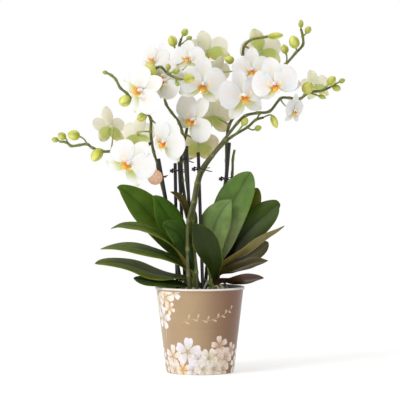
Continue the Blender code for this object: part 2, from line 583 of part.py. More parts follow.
def make_flower(name, centre, turn, tilt, roll, size, mat):
    """A thin five-lobed plate with the lip as a short nose in front."""
    bm = bmesh.new()
    half = PETAL_THICKNESS / 2
    count = FLOWER_OUTLINE_POINTS
    angles = [math.tau * (i + 0.5) / count for i in range(count)]
    rims = []
    for z in (half, -half):
        rims.append([bm.verts.new((PETAL_SPREAD * size * tepal_radius(a) * math.cos(a),
                                   PETAL_SPREAD * size * tepal_radius(a) * math.sin(a), z))
                     for a in angles])
    lip = LIP_SHARE * PETAL_SPREAD * size
    collar = [bm.verts.new((lip * math.cos(a), lip * math.sin(a), half)) for a in angles[::3]]
    nose = bm.verts.new((0, -0.5 * lip, half + LIP_REACH * size))
    heart = bm.verts.new((0, 0, -half))
    front, back = rims
    for i in range(count):
        j = (i + 1) % count
        bm.faces.new((front[i], back[i], back[j], front[j]))
        bm.faces.new((back[i], heart, back[j]))
        near = collar[i // 3]
        after = collar[(i // 3 + 1) % len(collar)]
        if i % 3 == 2:
            bm.faces.new((front[i], front[j], after, near))
        else:
            bm.faces.new((front[i], front[j], near))
    for near, after in zip(collar, collar[1:] + collar[:1]):
        bm.faces.new((near, after, nose))
    place = Matrix.Translation(lifted(centre)) @ flower_axes(turn, tilt, roll).to_4x4()
    bmesh.ops.transform(bm, matrix=place, verts=bm.verts)
    place_mesh(name, mesh_from_bmesh(bm), mat)


def branch_points(spike, branch):
    """A branch's points; a side branch's first entry is a place on the main stem."""
    points = SPIKES[spike][branch]
    main = SPIKES[spike]["main"]
    return [main[p] if isinstance(p, int) else p for p in points]


def bend(start, middle, end, steps):
    """Points on the quadratic curve that starts towards the middle point."""
    return [(1 - t) ** 2 * start + 2 * t * (1 - t) * middle + t ** 2 * end
            for t in (i / steps for i in range(steps + 1))]


def stalk(start, middle, end):
    """A thin round stalk that starts towards the middle point and ends at the last one."""
    return tube(bend(start, middle, end, STALK_SPANS), PEDICEL_RADIUS, PEDICEL_RADIUS, BAR_COARSE)


def flower_pedicel(root, centre, turn, tilt, roll):
    """A flower's stalk, from its stem to just behind the flower, coming in square to it."""
    facing = flower_axes(turn, tilt, roll).col[2]
    end = lifted(centre) - facing * (PETAL_THICKNESS / 2 + PEDICEL_GAP)
    return stalk(root, end - facing * PEDICEL_BEND, end)


def make_spike(name, mat):
    solids = []
    for branch in SPIKES[name]:
        thick = STEM_RADIUS if branch == "main" else 0.8 * STEM_RADIUS
        line = smooth_curve([lifted(p) for p in branch_points(name, branch)], STEM_POINTS_PER_SPAN)
        solids.append(tube(line, thick, STEM_TIP_RADIUS, BAR_COARSE))
    for spike, branch, at, centre, turn, tilt, roll, _ in FLOWERS.values():
        if spike == name:
            root = lifted(branch_points(spike, branch)[at])
            solids.append(flower_pedicel(root, centre, turn, tilt, roll))
    for spike, branch, at, centre, heading, length, width in BUDS:
        if spike == name:
            root = lifted(branch_points(spike, branch)[at])
            heart = lifted(centre)
            way = Vector(heading).normalized()
            foot = heart - way * (0.3 * length * MM)
            middle = foot - way * (0.5 * (foot - root).length)
            if (foot - root).length > TOUCH_GAP:
                solids.append(stalk(root, middle, foot))
            solids.append(ball(heart, way, length * MM, width * MM))
    joined(name, solids, mat)


def height_crossing(points, height):
    """Where a line of points first passes a height."""
    for a, b in zip(points, points[1:]):
        if a.z <= height <= b.z:
            return a.lerp(b, (height - a.z) / (b.z - a.z))
    return points[-1]


def tie_circle(height_mm, names):
    """Centre and radius of the circle that goes round a stake and the stems tied to it."""
    height = height_mm * MM + PLANT_SHIFT
    spots = []
    for name in names:
        if name in STAKES:
            head, foot = stake_line(name)
            spots.append(foot.lerp(head, (height - foot.z) / (head.z - foot.z)))
        else:
            spots.append(height_crossing([lifted(p) for p in SPIKES[name]["main"]], height))
    centre = sum(spots, Vector()) / len(spots)
    reach = max((spot - centre).length for spot in spots)
    return centre, reach + max(STEM_RADIUS, STAKE_RADIUS) + CLIP_CLEARANCE + CLIP_WIRE_RADIUS


def make_clips(mat):
    for name, (height, names) in CLIPS.items():
        centre, radius = tie_circle(height, names)
        place_mesh(name, ring_arc(centre, radius), mat)


def make_tag(mat):
    """A round disc on its own C clip, which goes round the left stake and stem."""
    centre, radius = tie_circle(*TAG_TIES)
    ring = ring_arc(centre, radius)
    front = centre.y - radius - CLIP_WIRE_RADIUS / 2
    x = centre.x + TAG_OFFSET[0]
    disc = tube([(x, front - TAG_THICKNESS / 2, centre.z), (x, front + TAG_THICKNESS / 2, centre.z)],
                TAG_RADIUS, TAG_RADIUS, BAR_FINE)
    joined("tag_disc", [ring, disc], mat)


def main():
    clear_scene()
    finishes = make_finishes()
    make_cover_pot(finishes["pot"])
    make_grow_pot(finishes["grow_pot"])
    make_bark(finishes["bark"])
    make_stakes(finishes["stake"])
    make_crowns(finishes["crown"])
    for name, (midrib, width, face_base, face_tip) in LEAVES.items():
        make_leaf(name, midrib, width, face_base, face_tip, finishes["leaf"])
    for name in SPIKES:
        make_spike(name, finishes["stem"])
    for name, (_, _, _, centre, turn, tilt, roll, size) in FLOWERS.items():
        make_flower(name, centre, turn, tilt, roll, size, finishes["petal"])
    make_clips(finishes["clip"])
    make_tag(finishes["tag"])


main()
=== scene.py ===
"""The looks of a potted moth orchid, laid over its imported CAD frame.

Metres, +Z up, the plant's best side towards -Y. Each new piece is one or more skins:
closed rings of points carried along a path, worked out as whole arrays. A skin has a tint
for every point, and a grain: how far the point lies across and along its blade or stem,
in mm, and how far along it as a share. The finishes read both.
"""
import math

import bpy
import numpy as np
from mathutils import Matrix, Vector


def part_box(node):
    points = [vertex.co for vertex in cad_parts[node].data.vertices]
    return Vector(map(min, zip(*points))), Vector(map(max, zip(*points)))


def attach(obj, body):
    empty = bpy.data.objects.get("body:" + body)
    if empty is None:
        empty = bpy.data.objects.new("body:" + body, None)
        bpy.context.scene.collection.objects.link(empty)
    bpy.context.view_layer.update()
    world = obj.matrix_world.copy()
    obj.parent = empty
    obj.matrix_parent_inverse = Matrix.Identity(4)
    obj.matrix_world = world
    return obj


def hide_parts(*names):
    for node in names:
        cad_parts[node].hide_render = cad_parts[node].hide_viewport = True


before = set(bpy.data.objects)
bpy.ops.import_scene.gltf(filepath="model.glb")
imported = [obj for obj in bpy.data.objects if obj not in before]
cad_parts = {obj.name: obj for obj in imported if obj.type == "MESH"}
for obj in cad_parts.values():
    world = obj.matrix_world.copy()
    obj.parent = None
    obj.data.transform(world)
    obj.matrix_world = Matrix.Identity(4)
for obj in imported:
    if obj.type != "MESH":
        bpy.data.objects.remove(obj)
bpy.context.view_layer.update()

MM = 0.001

# Sizes, as in the CAD except for slightly thinner flower stalks
POT_FOOT_RADIUS = 38 * MM
POT_TOP_RADIUS = 49 * MM
POT_WALL = 2.6 * MM
POT_FLOOR = 4.0 * MM
POT_FOOT_ROUND = 3.0 * MM
RIM_BEAD = 1.2 * MM
STAKE_RADIUS = 1.9 * MM
STAKE_FOOT = 30 * MM
CLIP_WIRE_RADIUS = 0.8 * MM
CLIP_CLEARANCE = 0.4 * MM
TAG_RADIUS = 8.5 * MM
TAG_THICKNESS = 1.6 * MM
STEM_RADIUS = 2.1 * MM
STEM_TIP_RADIUS = 1.4 * MM
PEDICEL_RADIUS = 0.95 * MM
PEDICEL_BEND = 13 * MM
PETAL_SPREAD = 26 * MM
LIP_REACH = 8.0 * MM

# Levels taken from the CAD frame
POT_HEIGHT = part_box("pot_cover")[1].z
LAYOUT_PLANT_BASE = 87.6 * MM  # height of the crowns' foot that the plant's points are given for
PLANT_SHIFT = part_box("crown_left")[0].z - LAYOUT_PLANT_BASE

# Crowns: centre in plan (mm), then the roots' far ends in plan (mm).
CROWNS = {
    "crown_left": ((-9, -9), [(-20, -30), (-6, -34)]),
    "crown_right": ((14, -4), [(29, -19), (16, 16)]),
}

# Stakes: top (mm), and the place where each passes the pot's rim level (mm).
RIM_LEVEL = 96
STAKES = {
    "stake_left": ((-46.5, 4.2, 239), (-21, 14)),
    "stake_mid_a": ((-28, 12, 234), (-26, 19)),
    "stake_mid_b": ((-24, 6, 246), (-17, 20)),
    "stake_mid_right": ((-15, -6, 253), (-9, 3)),
    "stake_centre": ((-2, -6, 246), (3, -15)),
    "stake_right": ((33, 4, 257), (20, 20)),
}

# Leaves: midrib points (mm), blade width (mm), and the way the upper side faces
# at the base and at the tip.
LEAVES = {
    "leaf_left_1": ([(-18, 1, 126), (-34, 3, 148), (-51, 5, 170), (-70, 4, 190), (-86, 1, 204),
                     (-93, -1, 207)], 36, (0.05, -1, 0.05), (0.35, -0.9, 0.35)),
    "leaf_left_2": ([(-15, -6, 128), (-22, -4, 148), (-32, -3, 167), (-42, -7, 184),
                     (-49, -12, 194), (-53, -14, 197)], 32, (0.2, -1, 0.2), (0.4, -0.85, 0.3)),
    "leaf_left_3": ([(-12, -15, 126), (-17, -18, 141), (-21, -21, 151), (-28, -27, 159),
                     (-37, -33, 164), (-41, -36, 165)], 28, (0.2, -0.9, 0.35), (0.1, -0.8, 0.6)),
    "leaf_left_4": ([(-16, -15, 119), (-28, -22, 139.5), (-45, -25, 154.5), (-62, -24, 163),
                     (-75, -23, 165), (-88, -20, 165), (-99, -17, 161)], 36, (0.35, -0.05, 0.9),
                    (0, -0.25, 1)),
    "leaf_left_5": ([(-15, -12, 114), (-35, -13, 129), (-56, -14, 136), (-75, -14, 140),
                     (-91, -14, 141), (-102, -13, 140), (-111, -12, 138)], 38, (0.1, -0.3, 1),
                    (0, -0.22, 1)),
    "leaf_left_6": ([(-15, -10, 103), (-33, -10, 107), (-55, -9, 112), (-75, -9, 119),
                     (-93, -10, 123), (-107, -12, 124), (-117, -14, 122)], 42, (0, -0.2, 1),
                    (0, -0.35, 1)),
    "leaf_left_7": ([(-19, -14, 97), (-34, -15, 100), (-51, -15, 102), (-64, -15, 104),
                     (-74, -15, 106)], 30, (0, -0.35, 1), (0, -0.35, 1)),
    "leaf_right_1": ([(18, -2, 124), (23, 0, 143), (27, 1, 161), (32, 1, 178), (38, 1, 193),
                      (45, 1, 205), (51, 2, 215), (57, 4, 224)], 41, (-0.2, -1, 0.1),
                     (-0.2, -1, 0.1)),
    "leaf_right_2": ([(14, -9, 121), (13, -8, 138), (14, -8, 155), (19, -9, 171), (27, -10, 184),
                      (35, -11, 193)], 36, (-0.2, -1, 0.1), (-0.2, -1, 0.1)),
    "leaf_right_3": ([(15, -14, 111), (13, -22, 124), (7, -30, 139), (1.5, -35, 154), (-4, -37.5, 163),
                      (-8, -39, 167)], 31, (0.3, 1, 0.3), (0.3, 1, 0.3)),
    "leaf_right_4": ([(23, 2, 121), (34, 2, 139), (49, 3, 153), (63, 3, 167), (76, 3, 178),
                      (85, 2, 186), (90, 2, 188)], 36, (-0.1, -1, 0.15), (-0.2, -0.9, 0.3)),
    "leaf_right_5": ([(20, 8, 127), (31, 9, 144), (42, 10, 161), (52, 10, 179), (60, 10, 195),
                      (65, 10, 206)], 28, (-0.1, -1, 0.1), (-0.1, -1, 0.1)),
    "leaf_right_6": ([(22, -10, 115), (36, -13, 126), (52, -14, 134), (66, -14, 143.5), (78, -13, 152),
                      (87, -12, 158), (94, -11, 164)], 38, (-0.55, 0.28, 0.8), (-0.55, 0.28, 0.8)),
    "leaf_right_7": ([(23, 7, 113), (36, 11, 119.5), (50, 12, 127), (62, 12, 134), (71, 12, 140),
                      (77, 12, 145)], 32, (-0.3, 0.5, 0.7), (-0.35, 0.75, 0.5)),
    "leaf_right_8": ([(21, -6, 108), (35, -8, 114), (49, -9, 119), (61, -9, 123), (70, -9, 124),
                      (76, -9, 125)], 30, (-0.25, 0.45, 0.8), (-0.15, 0.45, 0.85)),
    "leaf_right_9": ([(21, -10, 100), (35, -13, 102), (46, -15, 104), (57, -16, 105),
                      (65, -16, 106), (71, -16, 106)], 31, (-0.05, 0.4, 0.9), (-0.05, 0.4, 0.9)),
    "leaf_young_1": ([(-15, -9, 172), (-18, -10, 182), (-22, -10, 190), (-27, -10, 197),
                      (-33, -10, 202)], 16, (0.6, -0.5, 0.6), (0.6, -0.5, 0.6)),
    "leaf_young_2": ([(-8, -14, 146), (-8, -14, 161), (-8, -13, 174), (-8, -12, 180), (-7, -11, 185)],
                     12, (0, -1, 0.2), (0, -1, 0.2)),
}

# Spikes: each branch is a list of points (mm). A side branch starts at a point
# of the spike's main stem, named by its place in that list.
SPIKES = {
    "spike_left": {
        "main": [(-12, 8, 90), (-14, 22, 110), (-22, 25, 132), (-32, 20, 161), (-39, 13, 193),
                 (-44, 10, 214), (-49, 8, 235), (-52, 4, 247), (-54, -2, 257), (-55, -3, 269),
                 (-55, -2, 283), (-61, 0, 291), (-68, 2, 297), (-76, 2, 305), (-82, 0, 312),
                 (-89, -2, 318), (-94, -3, 327), (-99, -4, 332), (-103, -4, 334)],
        "low": [8, (-63, -8, 251), (-78, -12, 247), (-99, -12, 247), (-108, -10, 247),
                (-120, -8, 251), (-126, -6, 255), (-135, -5, 254), (-144, -4, 253),
                (-149, -3, 257), (-157, -2, 258)],
    },
    "spike_mid": {
        "main": [(-4, 9, 90), (-8, 7, 116), (-11, 7, 153), (-12, 4, 187), (-15, 2, 215),
                 (-17, 0, 237), (-18, 0, 253), (-20, 0, 269), (-24, 0, 280), (-32, 2, 291),
                 (-38, 3, 300), (-40, 4, 309), (-42, 5, 321), (-44, 6, 328), (-42, 6, 335)],
        "twig": [12, (-52, -1, 323), (-55, -8, 331), (-50, -17, 338), (-43, -23, 340),
                 (-35, -29, 332), (-25, -33, 327), (-20, -34.5, 326)],
    },
    "spike_top": {
        "main": [(0, 14, 90), (-6, 14, 116), (-11, 15, 153), (-16, 14, 187), (-20, 12, 215),
                 (-21, 11, 235), (-20, 10, 251), (-16, 10, 266), (-14, 10, 280), (-15, 10, 299),
                 (-17, 10, 319), (-19, 10, 339), (-22, 10, 356), (-23, 10, 366), (-21, 10, 374)],
    },
    "spike_right": {
        "main": [(6, 9, 90), (8, 14, 116), (15, 16, 147), (23, 15, 187), (29, 13, 215),
                 (30, 12, 237), (30, 11, 258), (33, 8, 277), (42, 5, 291), (52, 2, 307),
                 (64, 2, 320), (78, 2, 332), (96, 2, 345), (107, 2, 357), (115, 2, 366),
                 (115, 2, 376), (113, 2, 384)],
        "upper": [8, (43, 9, 305), (44, 11, 318), (46, 13, 339), (48, 14, 355), (50, 14, 366),
                  (58, 14, 373), (69, 12, 375), (76, 11, 376)],
        "stub": [2, (26, 18, 175), (33, 18, 200), (36.5, 16, 222), (37, 14, 238), (39, 14, 249)],
    },
    "spike_long": {
        "main": [(-11, -22, 90), (-13, -24, 110), (-14, -26, 139), (-13, -25, 170), (-8, -23, 191),
                 (-4, -19, 212), (1, -16, 227), (13, -13, 243), (27, -9, 260), (42, -5, 279),
                 (51, -3, 287), (64, -1, 290), (78, 0, 292), (90, 2, 306), (100, 3, 307),
                 (112, 3, 306), (122, 3, 313), (136, 2, 315), (146, 2, 319)],
    },
    "spike_short": {
        "main": [(-3, -21, 90), (-4, -20, 113), (-7, -18, 143), (-8, -19, 170), (-5, -17, 191),
                 (-1, -13, 212), (4, -10, 226), (14, -7, 241), (24, -4, 253), (35, -2, 263),
                 (53, 0, 274), (62, 0, 282), (71, 3, 285)],
    },
}

# Flowers: spike, branch and point they grow from, centre (mm), then degrees:
# turn to the right, upward tilt, clockwise roll; and size against a full flower.
FLOWERS = {
    "flower_01": ("spike_mid", "main", 13, (-51, 32, 352.5), -40, 20, 20, 0.80),
    "flower_02": ("spike_left", "main", 13, (-64, -26, 315), -35, -5, 70, 1.0),
    "flower_03": ("spike_mid", "main", 12, (-37, -14, 326), -35, 5, 75, 0.85),
    "flower_04": ("spike_top", "main", 10, (3, -20, 322), 5, 0, 3, 1.0),
    "flower_05": ("spike_right", "main", 9, (47, -30, 309), 25, 0, -15, 1.0),
    "flower_06": ("spike_right", "main", 11, (82, -34, 321), -5, 5, -12, 1.0),
    "flower_07": ("spike_right", "main", 10, (58, -6, 338), 0, 10, 0, 0.85),
    "flower_08": ("spike_top", "main", 12, (7, 26, 360), 170, 10, 10, 0.9),
    "flower_09": ("spike_right", "upper", 3, (20, 16, 337), -150, 10, -10, 0.6),
    "flower_10": ("spike_right", "upper", 5, (69, 28, 361), 170, 20, 15, 0.9),
    "flower_11": ("spike_top", "main", 8, (-6, -6, 283.5), -35, -5, 40, 0.96),
    "flower_12": ("spike_left", "main", 10, (-38, -26, 259), -35, -10, 35, 0.95),
    "flower_13": ("spike_left", "low", 2, (-77, -36, 235), -15, -10, 45, 1.0),
    "flower_14": ("spike_left", "low", 3, (-101, -13, 274), -145, -15, 0, 0.8),
    "flower_15": ("spike_left", "main", 9, (-70, 16, 266), 160, -20, 0, 0.8),
    "flower_16": ("spike_top", "main", 7, (-1, 30, 255), 175, -20, 0, 0.85),
    "flower_17": ("spike_right", "main", 7, (15, 26, 287), 165, -10, 0, 0.85),
    "flower_18": ("spike_long", "main", 16, (130, 21, 322), 150, 20, 10, 0.68),
    "flower_19": ("spike_long", "main", 13, (104, -19, 293), 50, -10, 0, 0.6),
    "flower_20": ("spike_top", "main", 11, (-14, -10, 351), -10, 25, 0, 0.75),
}

# Buds: spike, branch and point they grow from, centre (mm), the way the tip
# points, length and width (mm).
BUDS = [
    ("spike_left", "main", 10, (-65, -8, 285), (-0.7, -0.4, -0.5), 13, 10),
    ("spike_left", "main", 13, (-84, -9, 303), (-0.5, -0.6, -0.3), 16, 13),
    ("spike_left", "main", 18, (-106, -4, 335), (-1, 0, 0.2), 6, 5),
    ("spike_left", "low", 4, (-115, -11, 243), (-0.6, 0, -0.8), 17, 13),
    ("spike_left", "low", 6, (-141, -5, 265), (-0.9, 0, 0.2), 14, 12),
    ("spike_left", "low", 9, (-154, -8, 264), (-0.8, 0, 0.5), 10, 9),
    ("spike_left", "low", 10, (-162, -2, 260), (-1, 0, 0.2), 8, 6.5),
    ("spike_mid", "twig", 2, (-55, -15, 337), (-0.2, -0.5, 0.6), 18, 16),
    ("spike_mid", "twig", 5, (-35, -30, 340), (0.1, 0, 0.9), 7, 6),
    ("spike_mid", "twig", 5, (-26, -31, 335), (0.8, 0, 0.2), 8, 7),
    ("spike_mid", "twig", 6, (-25, -34, 321), (0.3, -0.3, -0.7), 6, 5),
    ("spike_mid", "twig", 7, (-12, -33.5, 327), (0.9, 0.1, 0.1), 13, 11),
    ("spike_top", "main", 12, (-31, 8, 371), (-0.3, 0, 0.9), 13, 11),
    ("spike_top", "main", 14, (-17, 10, 381), (0.5, 0, 0.8), 9, 8),
    ("spike_top", "main", 13, (-12, 8, 374), (0.7, 0, 0.5), 7, 6),
    ("spike_right", "upper", 4, (33, 9, 350), (-0.8, -0.3, 0.3), 11, 10),
    ("spike_right", "upper", 8, (85, 10, 377), (1, 0, 0.1), 17, 8),
    ("spike_right", "main", 12, (95, 8, 362), (-0.3, 0, 0.9), 11, 9),
    ("spike_right", "main", 13, (105, -6, 369), (-0.3, -0.2, 0.9), 15, 12),
    ("spike_right", "main", 15, (121, 2, 383), (0.5, 0, 0.8), 9, 7.5),
    ("spike_right", "main", 16, (113, 2, 390), (0, 0, 1), 9, 6),
    ("spike_long", "main", 15, (120, -8, 318), (0.4, -0.3, 0.8), 15, 13),
    ("spike_long", "main", 17, (147, -2, 326), (0.6, 0, 0.7), 12, 10),
    ("spike_long", "main", 18, (153, 3, 318), (0.9, 0, -0.3), 10, 8),
    ("spike_long", "main", 18, (159, 0, 326), (0.9, 0, 0.4), 7, 6),
    ("spike_long", "main", 16, (137, 3, 308), (0.9, 0, -0.3), 9, 5),
    ("spike_short", "main", 9, (50, -7, 280), (0.5, -0.2, 0.8), 10, 8),
    ("spike_short", "main", 11, (67, 3, 290), (0.4, 0, 0.9), 5, 4),
    ("spike_short", "main", 10, (65, -3, 273), (0.7, 0, 0.3), 8, 7),
    ("spike_short", "main", 12, (83, -7, 280), (0.2, -0.5, -0.6), 19, 8),
]

# Clips: height (mm), and what each one ties together, a stake with stems.
CLIPS = {
    "clip_centre": (227, ["stake_centre", "spike_long", "spike_short"]),
    "clip_mid_left": (225, ["stake_mid_a", "stake_mid_b", "spike_top"]),
    "clip_mid_right": (237, ["stake_mid_right", "spike_mid"]),
    "clip_right": (216, ["stake_right", "spike_right"]),
}
TAG_TIES = (218, ["stake_left", "spike_left"])
TAG_OFFSET = (-6.5 * MM, 0)


# ---- Arrays ----------------------------------------------------------------

def linear(code):
    """An sRGB hex colour as linear red, green and blue."""
    c = np.array([int(code[i:i + 2], 16) for i in (0, 2, 4)]) / 255
    return np.where(c <= 0.04045, c / 12.92, ((c + 0.055) / 1.055) ** 2.4)


def unit(vectors):
    return vectors / np.maximum(np.linalg.norm(vectors, axis=-1, keepdims=True), 1e-9)


def blend(first, second, share):
    """Colours or points part of the way from first to second; share has one less dimension."""
    return first + (second - first) * np.asarray(share)[..., None]


def step_up(x, low, high):
    """0 below low, 1 above high, and a smooth rise between."""
    t = np.clip((x - low) / (high - low), 0, 1)
    return t * t * (3 - 2 * t)


def hump(x, centre, width):
    """A bell curve, 1 at the centre."""
    return np.exp(-((x - centre) / width) ** 2)


def lifted(points):
    """Plant points in mm as metres, raised with the plant's base."""
    return np.array(points, float) * MM + (0, 0, PLANT_SHIFT)


def smooth_line(points, per_span):
    """Catmull-Rom curve through the points: cubic blends of four neighbours, per_span to a span."""
    p = np.asarray(points, float)
    p = np.vstack([2 * p[0] - p[1], p, 2 * p[-1] - p[-2]])
    a, b, c, d = (p[i:len(p) - 3 + i, None] for i in range(4))
    t = (np.arange(per_span) / per_span)[None, :, None]
    spans = 0.5 * (2 * b + (c - a) * t + (2 * a - 5 * b + 4 * c - d) * t ** 2
                   + (3 * b - a - 3 * c + d) * t ** 3)
    return np.vstack([spans.reshape(-1, 3), p[-2]])


def run_length(line):
    """Distance along a line of points, from its start."""
    return np.concatenate([[0], np.cumsum(np.linalg.norm(np.diff(line, axis=0), axis=1))])


def read_line(line, distance):
    """Points at these distances along a line."""
    run = run_length(line)
    return np.stack([np.interp(distance, run, line[:, i]) for i in range(3)], -1)


def bend(start, middle, end, steps):
    """Points on the quadratic curve that starts towards the middle point."""
    t = np.linspace(0, 1, steps)[:, None]
    return (1 - t) ** 2 * start + 2 * t * (1 - t) * middle + t ** 2 * end


def ring_angles(count):
    """Evenly spaced angles round a full turn."""
    return np.arange(count) * math.tau / count


# ---- Skins -----------------------------------------------------------------

def tube_skin(line, radius, tint, sides):
    """A round stem: at each point of the line, a circle square to it. The circle's first axis is the
    line's own direction crossed with the direction that the line keeps furthest from."""
    line = np.asarray(line, float)
    along = unit(np.gradient(line, axis=0))
    steady = np.linalg.svd(along, full_matrices=False)[2][-1]
    across = unit(np.cross(along, steady))
    upward = np.cross(along, across)
    a = ring_angles(sides)
    radius = np.broadcast_to(np.asarray(radius, float), (len(line),))
    swing = np.cos(a)[None, :, None] * across[:, None] + np.sin(a)[None, :, None] * upward[:, None]
    rings = line[:, None] + radius[:, None, None] * swing
    run = run_length(line)
    grain = np.stack([np.broadcast_to(a, rings.shape[:2]),
                      np.broadcast_to(run[:, None] / MM, rings.shape[:2]),
                      np.broadcast_to((run / run[-1])[:, None], rings.shape[:2])], -1)
    tint = np.broadcast_to(np.asarray(tint, float).reshape((-1, 1, 3)), rings.shape)
    return rings, tint, grain


def turned_skin(profile, tints, sides):
    """A lathe shape: each (radius, height) of the profile becomes a level circle round Z."""
    profile = np.asarray(profile, float)
    a = ring_angles(sides)
    r, z = profile[:, :1], profile[:, 1:]
    rings = np.stack([r * np.cos(a), r * np.sin(a), z + 0 * a], -1)
    tint = np.broadcast_to(np.asarray(tints, float).reshape((-1, 1, 3)), rings.shape)
    grain = np.stack([r * a / MM, z / MM + 0 * a, z / MM + 0 * a], -1)
    return rings, tint, grain


def placed(skin, origin, axes):
    """A skin moved from its own frame: its points times the axes (columns), plus the origin."""
    rings, tint, grain = skin
    return rings @ np.asarray(axes).T + origin, tint, grain


def make_piece(name, skins, finish, nodes=(), sharp=None):
    """One object from several skins. Quads join neighbouring rings, a fan closes each end on the
    ring's middle, and a skin whose enclosed volume comes out negative has its faces turned over."""
    places, tints, grains, faces = [], [], [], []
    count = 0
    for skin in skins:
        n, m, _ = skin[0].shape
        ring = np.arange(m)
        after = (ring + 1) % m
        row = (np.arange(n - 1) * m)[:, None]
        quads = np.stack([row + ring, row + after, row + m + after, row + m + ring], -1).reshape(-1, 4)
        last = (n - 1) * m
        fans = np.vstack([np.stack([after, ring, 0 * ring + n * m], -1),
                          np.stack([last + ring, last + after, 0 * ring + n * m + 1], -1)])
        points, tint, grain = (np.vstack([a.reshape(-1, 3), a[0].mean(0), a[-1].mean(0)]) for a in skin)
        corners = points[np.vstack([quads[:, :3], quads[:, [0, 2, 3]], fans])]
        if np.einsum("ij,ij", corners[:, 0], np.cross(corners[:, 1], corners[:, 2])) < 0:
            quads, fans = quads[:, ::-1], fans[:, ::-1]
        places.append(points)
        tints.append(tint)
        grains.append(grain)
        faces += (quads + count).tolist() + (fans + count).tolist()
        count += len(points)
    mesh = bpy.data.meshes.new(name)
    mesh.from_pydata(np.vstack(places), [], faces)
    colours = np.column_stack([np.vstack(tints), np.ones(count)])
    tint_store = mesh.attributes.new("tint", "FLOAT_COLOR", "POINT").data
    tint_store.foreach_set("color", colours.ravel())
    grain_store = mesh.attributes.new("grain", "FLOAT_VECTOR", "POINT").data
    grain_store.foreach_set("vector", np.vstack(grains).ravel())
    mesh.materials.append(finish)
    mesh.shade_smooth()
    if sharp:
        mesh.set_sharp_from_angle(angle=math.radians(sharp))
    piece = bpy.data.objects.new(name, mesh)
    bpy.context.scene.collection.objects.link(piece)
    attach(piece, "root")
    if nodes:
        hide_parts(*nodes)


# ---- Finishes --------------------------------------------------------------

def add_node(tree, kind, settings=None, values=None, links=None):
    """Adds one node: properties by name, then socket values and incoming links by socket."""
    node = tree.nodes.new("ShaderNode" + kind)
    for key, value in (settings or {}).items():
        setattr(node, key, value)
    for key, value in (values or {}).items():
        node.inputs[key].default_value = value
    for key, source in (links or {}).items():
        tree.links.new(source, node.inputs[key])
    return node


def new_finish(name, **values):
    """A material with one Principled shader, its constant values set on its own sockets."""
    finish = bpy.data.materials.new(name)
    finish.use_nodes = True
    tree = finish.node_tree
    shader = tree.nodes["Principled BSDF"]
    for key, value in values.items():
        shader.inputs[key.replace("_", " ")].default_value = value
    return finish, tree, shader


def stretched_noise(tree, source, scale, noise_scale, detail):
    """Noise read through a Mapping that stretches it along one or two directions."""
    mapping = add_node(tree, "Mapping", values={"Scale": scale}, links={"Vector": source})
    return add_node(tree, "TexNoise", values={"Scale": noise_scale, "Detail": detail},
                    links={"Vector": mapping.outputs[0]}).outputs[0]


def even_noise(tree, size, detail):
    """Noise with features about this many metres across, the same in every direction."""
    return stretched_noise(tree, object_places(tree), (1, 1, 1), 1 / size, detail)


def remap(tree, source, low, high, new_low, new_high):
    return add_node(tree, "MapRange", values={1: low, 2: high, 3: new_low, 4: new_high},
                    links={0: source}).outputs[0]


def tinted(tree, factors):
    """The tint attribute multiplied by each factor, which comes from a pattern."""
    colour = add_node(tree, "Attribute", {"attribute_name": "tint"}).outputs["Color"]
    for factor in factors:
        colour = add_node(tree, "VectorMath", {"operation": "SCALE"},
                          links={0: colour, "Scale": factor}).outputs[0]
    return colour


def grain_of(tree):
    return add_node(tree, "Attribute", {"attribute_name": "grain"}).outputs["Vector"]


def shade(tree, shader, factors, height, distance, strength, under=None):
    """Links the tint times these factors as the colour, and a bump from a height."""
    tree.links.new(tinted(tree, factors), shader.inputs["Base Color"])
    tree.links.new(relief(tree, height, distance, strength, under), shader.inputs["Normal"])


def relief(tree, height, distance, strength, under=None):
    """Bump from a height between 0 and 1, distance metres deep."""
    links = {"Height": height}
    if under:
        links["Normal"] = under
    return add_node(tree, "Bump", values={"Distance": distance, "Strength": strength},
                    links=links).outputs[0]


def object_places(tree):
    return add_node(tree, "TexCoord").outputs["Object"]


def leaf_cuticle():
    """Orchid leaf: a thick waxy cuticle, smooth and half glossy, over faint veins that run along
    the blade about 1 mm apart, with soft mottling some 12 mm across."""
    finish, tree, shader = new_finish("leaf_cuticle", Roughness=0.46, IOR=1.45,
                                      Specular_IOR_Level=0.22, Subsurface_Weight=0.03, Subsurface_Scale=0.002)
    grain = grain_of(tree)
    veins = stretched_noise(tree, grain, (1.0, 0.03, 0), 0.9, 2.0)
    mottle = even_noise(tree, 0.012, 3.0)
    pores = even_noise(tree, 0.0007, 2.0)
    shades = [remap(tree, veins, 0.3, 0.7, 0.9, 1.1), remap(tree, mottle, 0.3, 0.7, 0.82, 1.18)]
    tree.links.new(tinted(tree, shades), shader.inputs["Base Color"])
    tree.links.new(remap(tree, mottle, 0.3, 0.7, 0.38, 0.52), shader.inputs["Roughness"])
    fine = relief(tree, pores, 0.00003, 0.5)
    tree.links.new(relief(tree, veins, 0.00025, 0.8, fine), shader.inputs["Normal"])
    return finish


def petal_tissue():
    """Moth orchid petal: soft opaque-white tissue that passes a little light, with a faint net
    of veins fanning out from the claw and a crystalline sparkle too fine to draw."""
    finish, tree, shader = new_finish("petal_tissue", Roughness=0.55, IOR=1.4, Subsurface_Weight=0.25,
                                      Subsurface_Scale=0.0025, Sheen_Weight=0.12, Sheen_Roughness=0.4)
    grain = grain_of(tree)
    veins = stretched_noise(tree, grain, (1.0, 0.12, 0), 0.8, 2.0)
    cells = even_noise(tree, 0.0006, 2.0)
    shades = [remap(tree, veins, 0.35, 0.7, 1.0, 0.955)]
    fine = relief(tree, cells, 0.00003, 0.6)
    shade(tree, shader, shades, veins, 0.00018, 0.6, fine)
    return finish


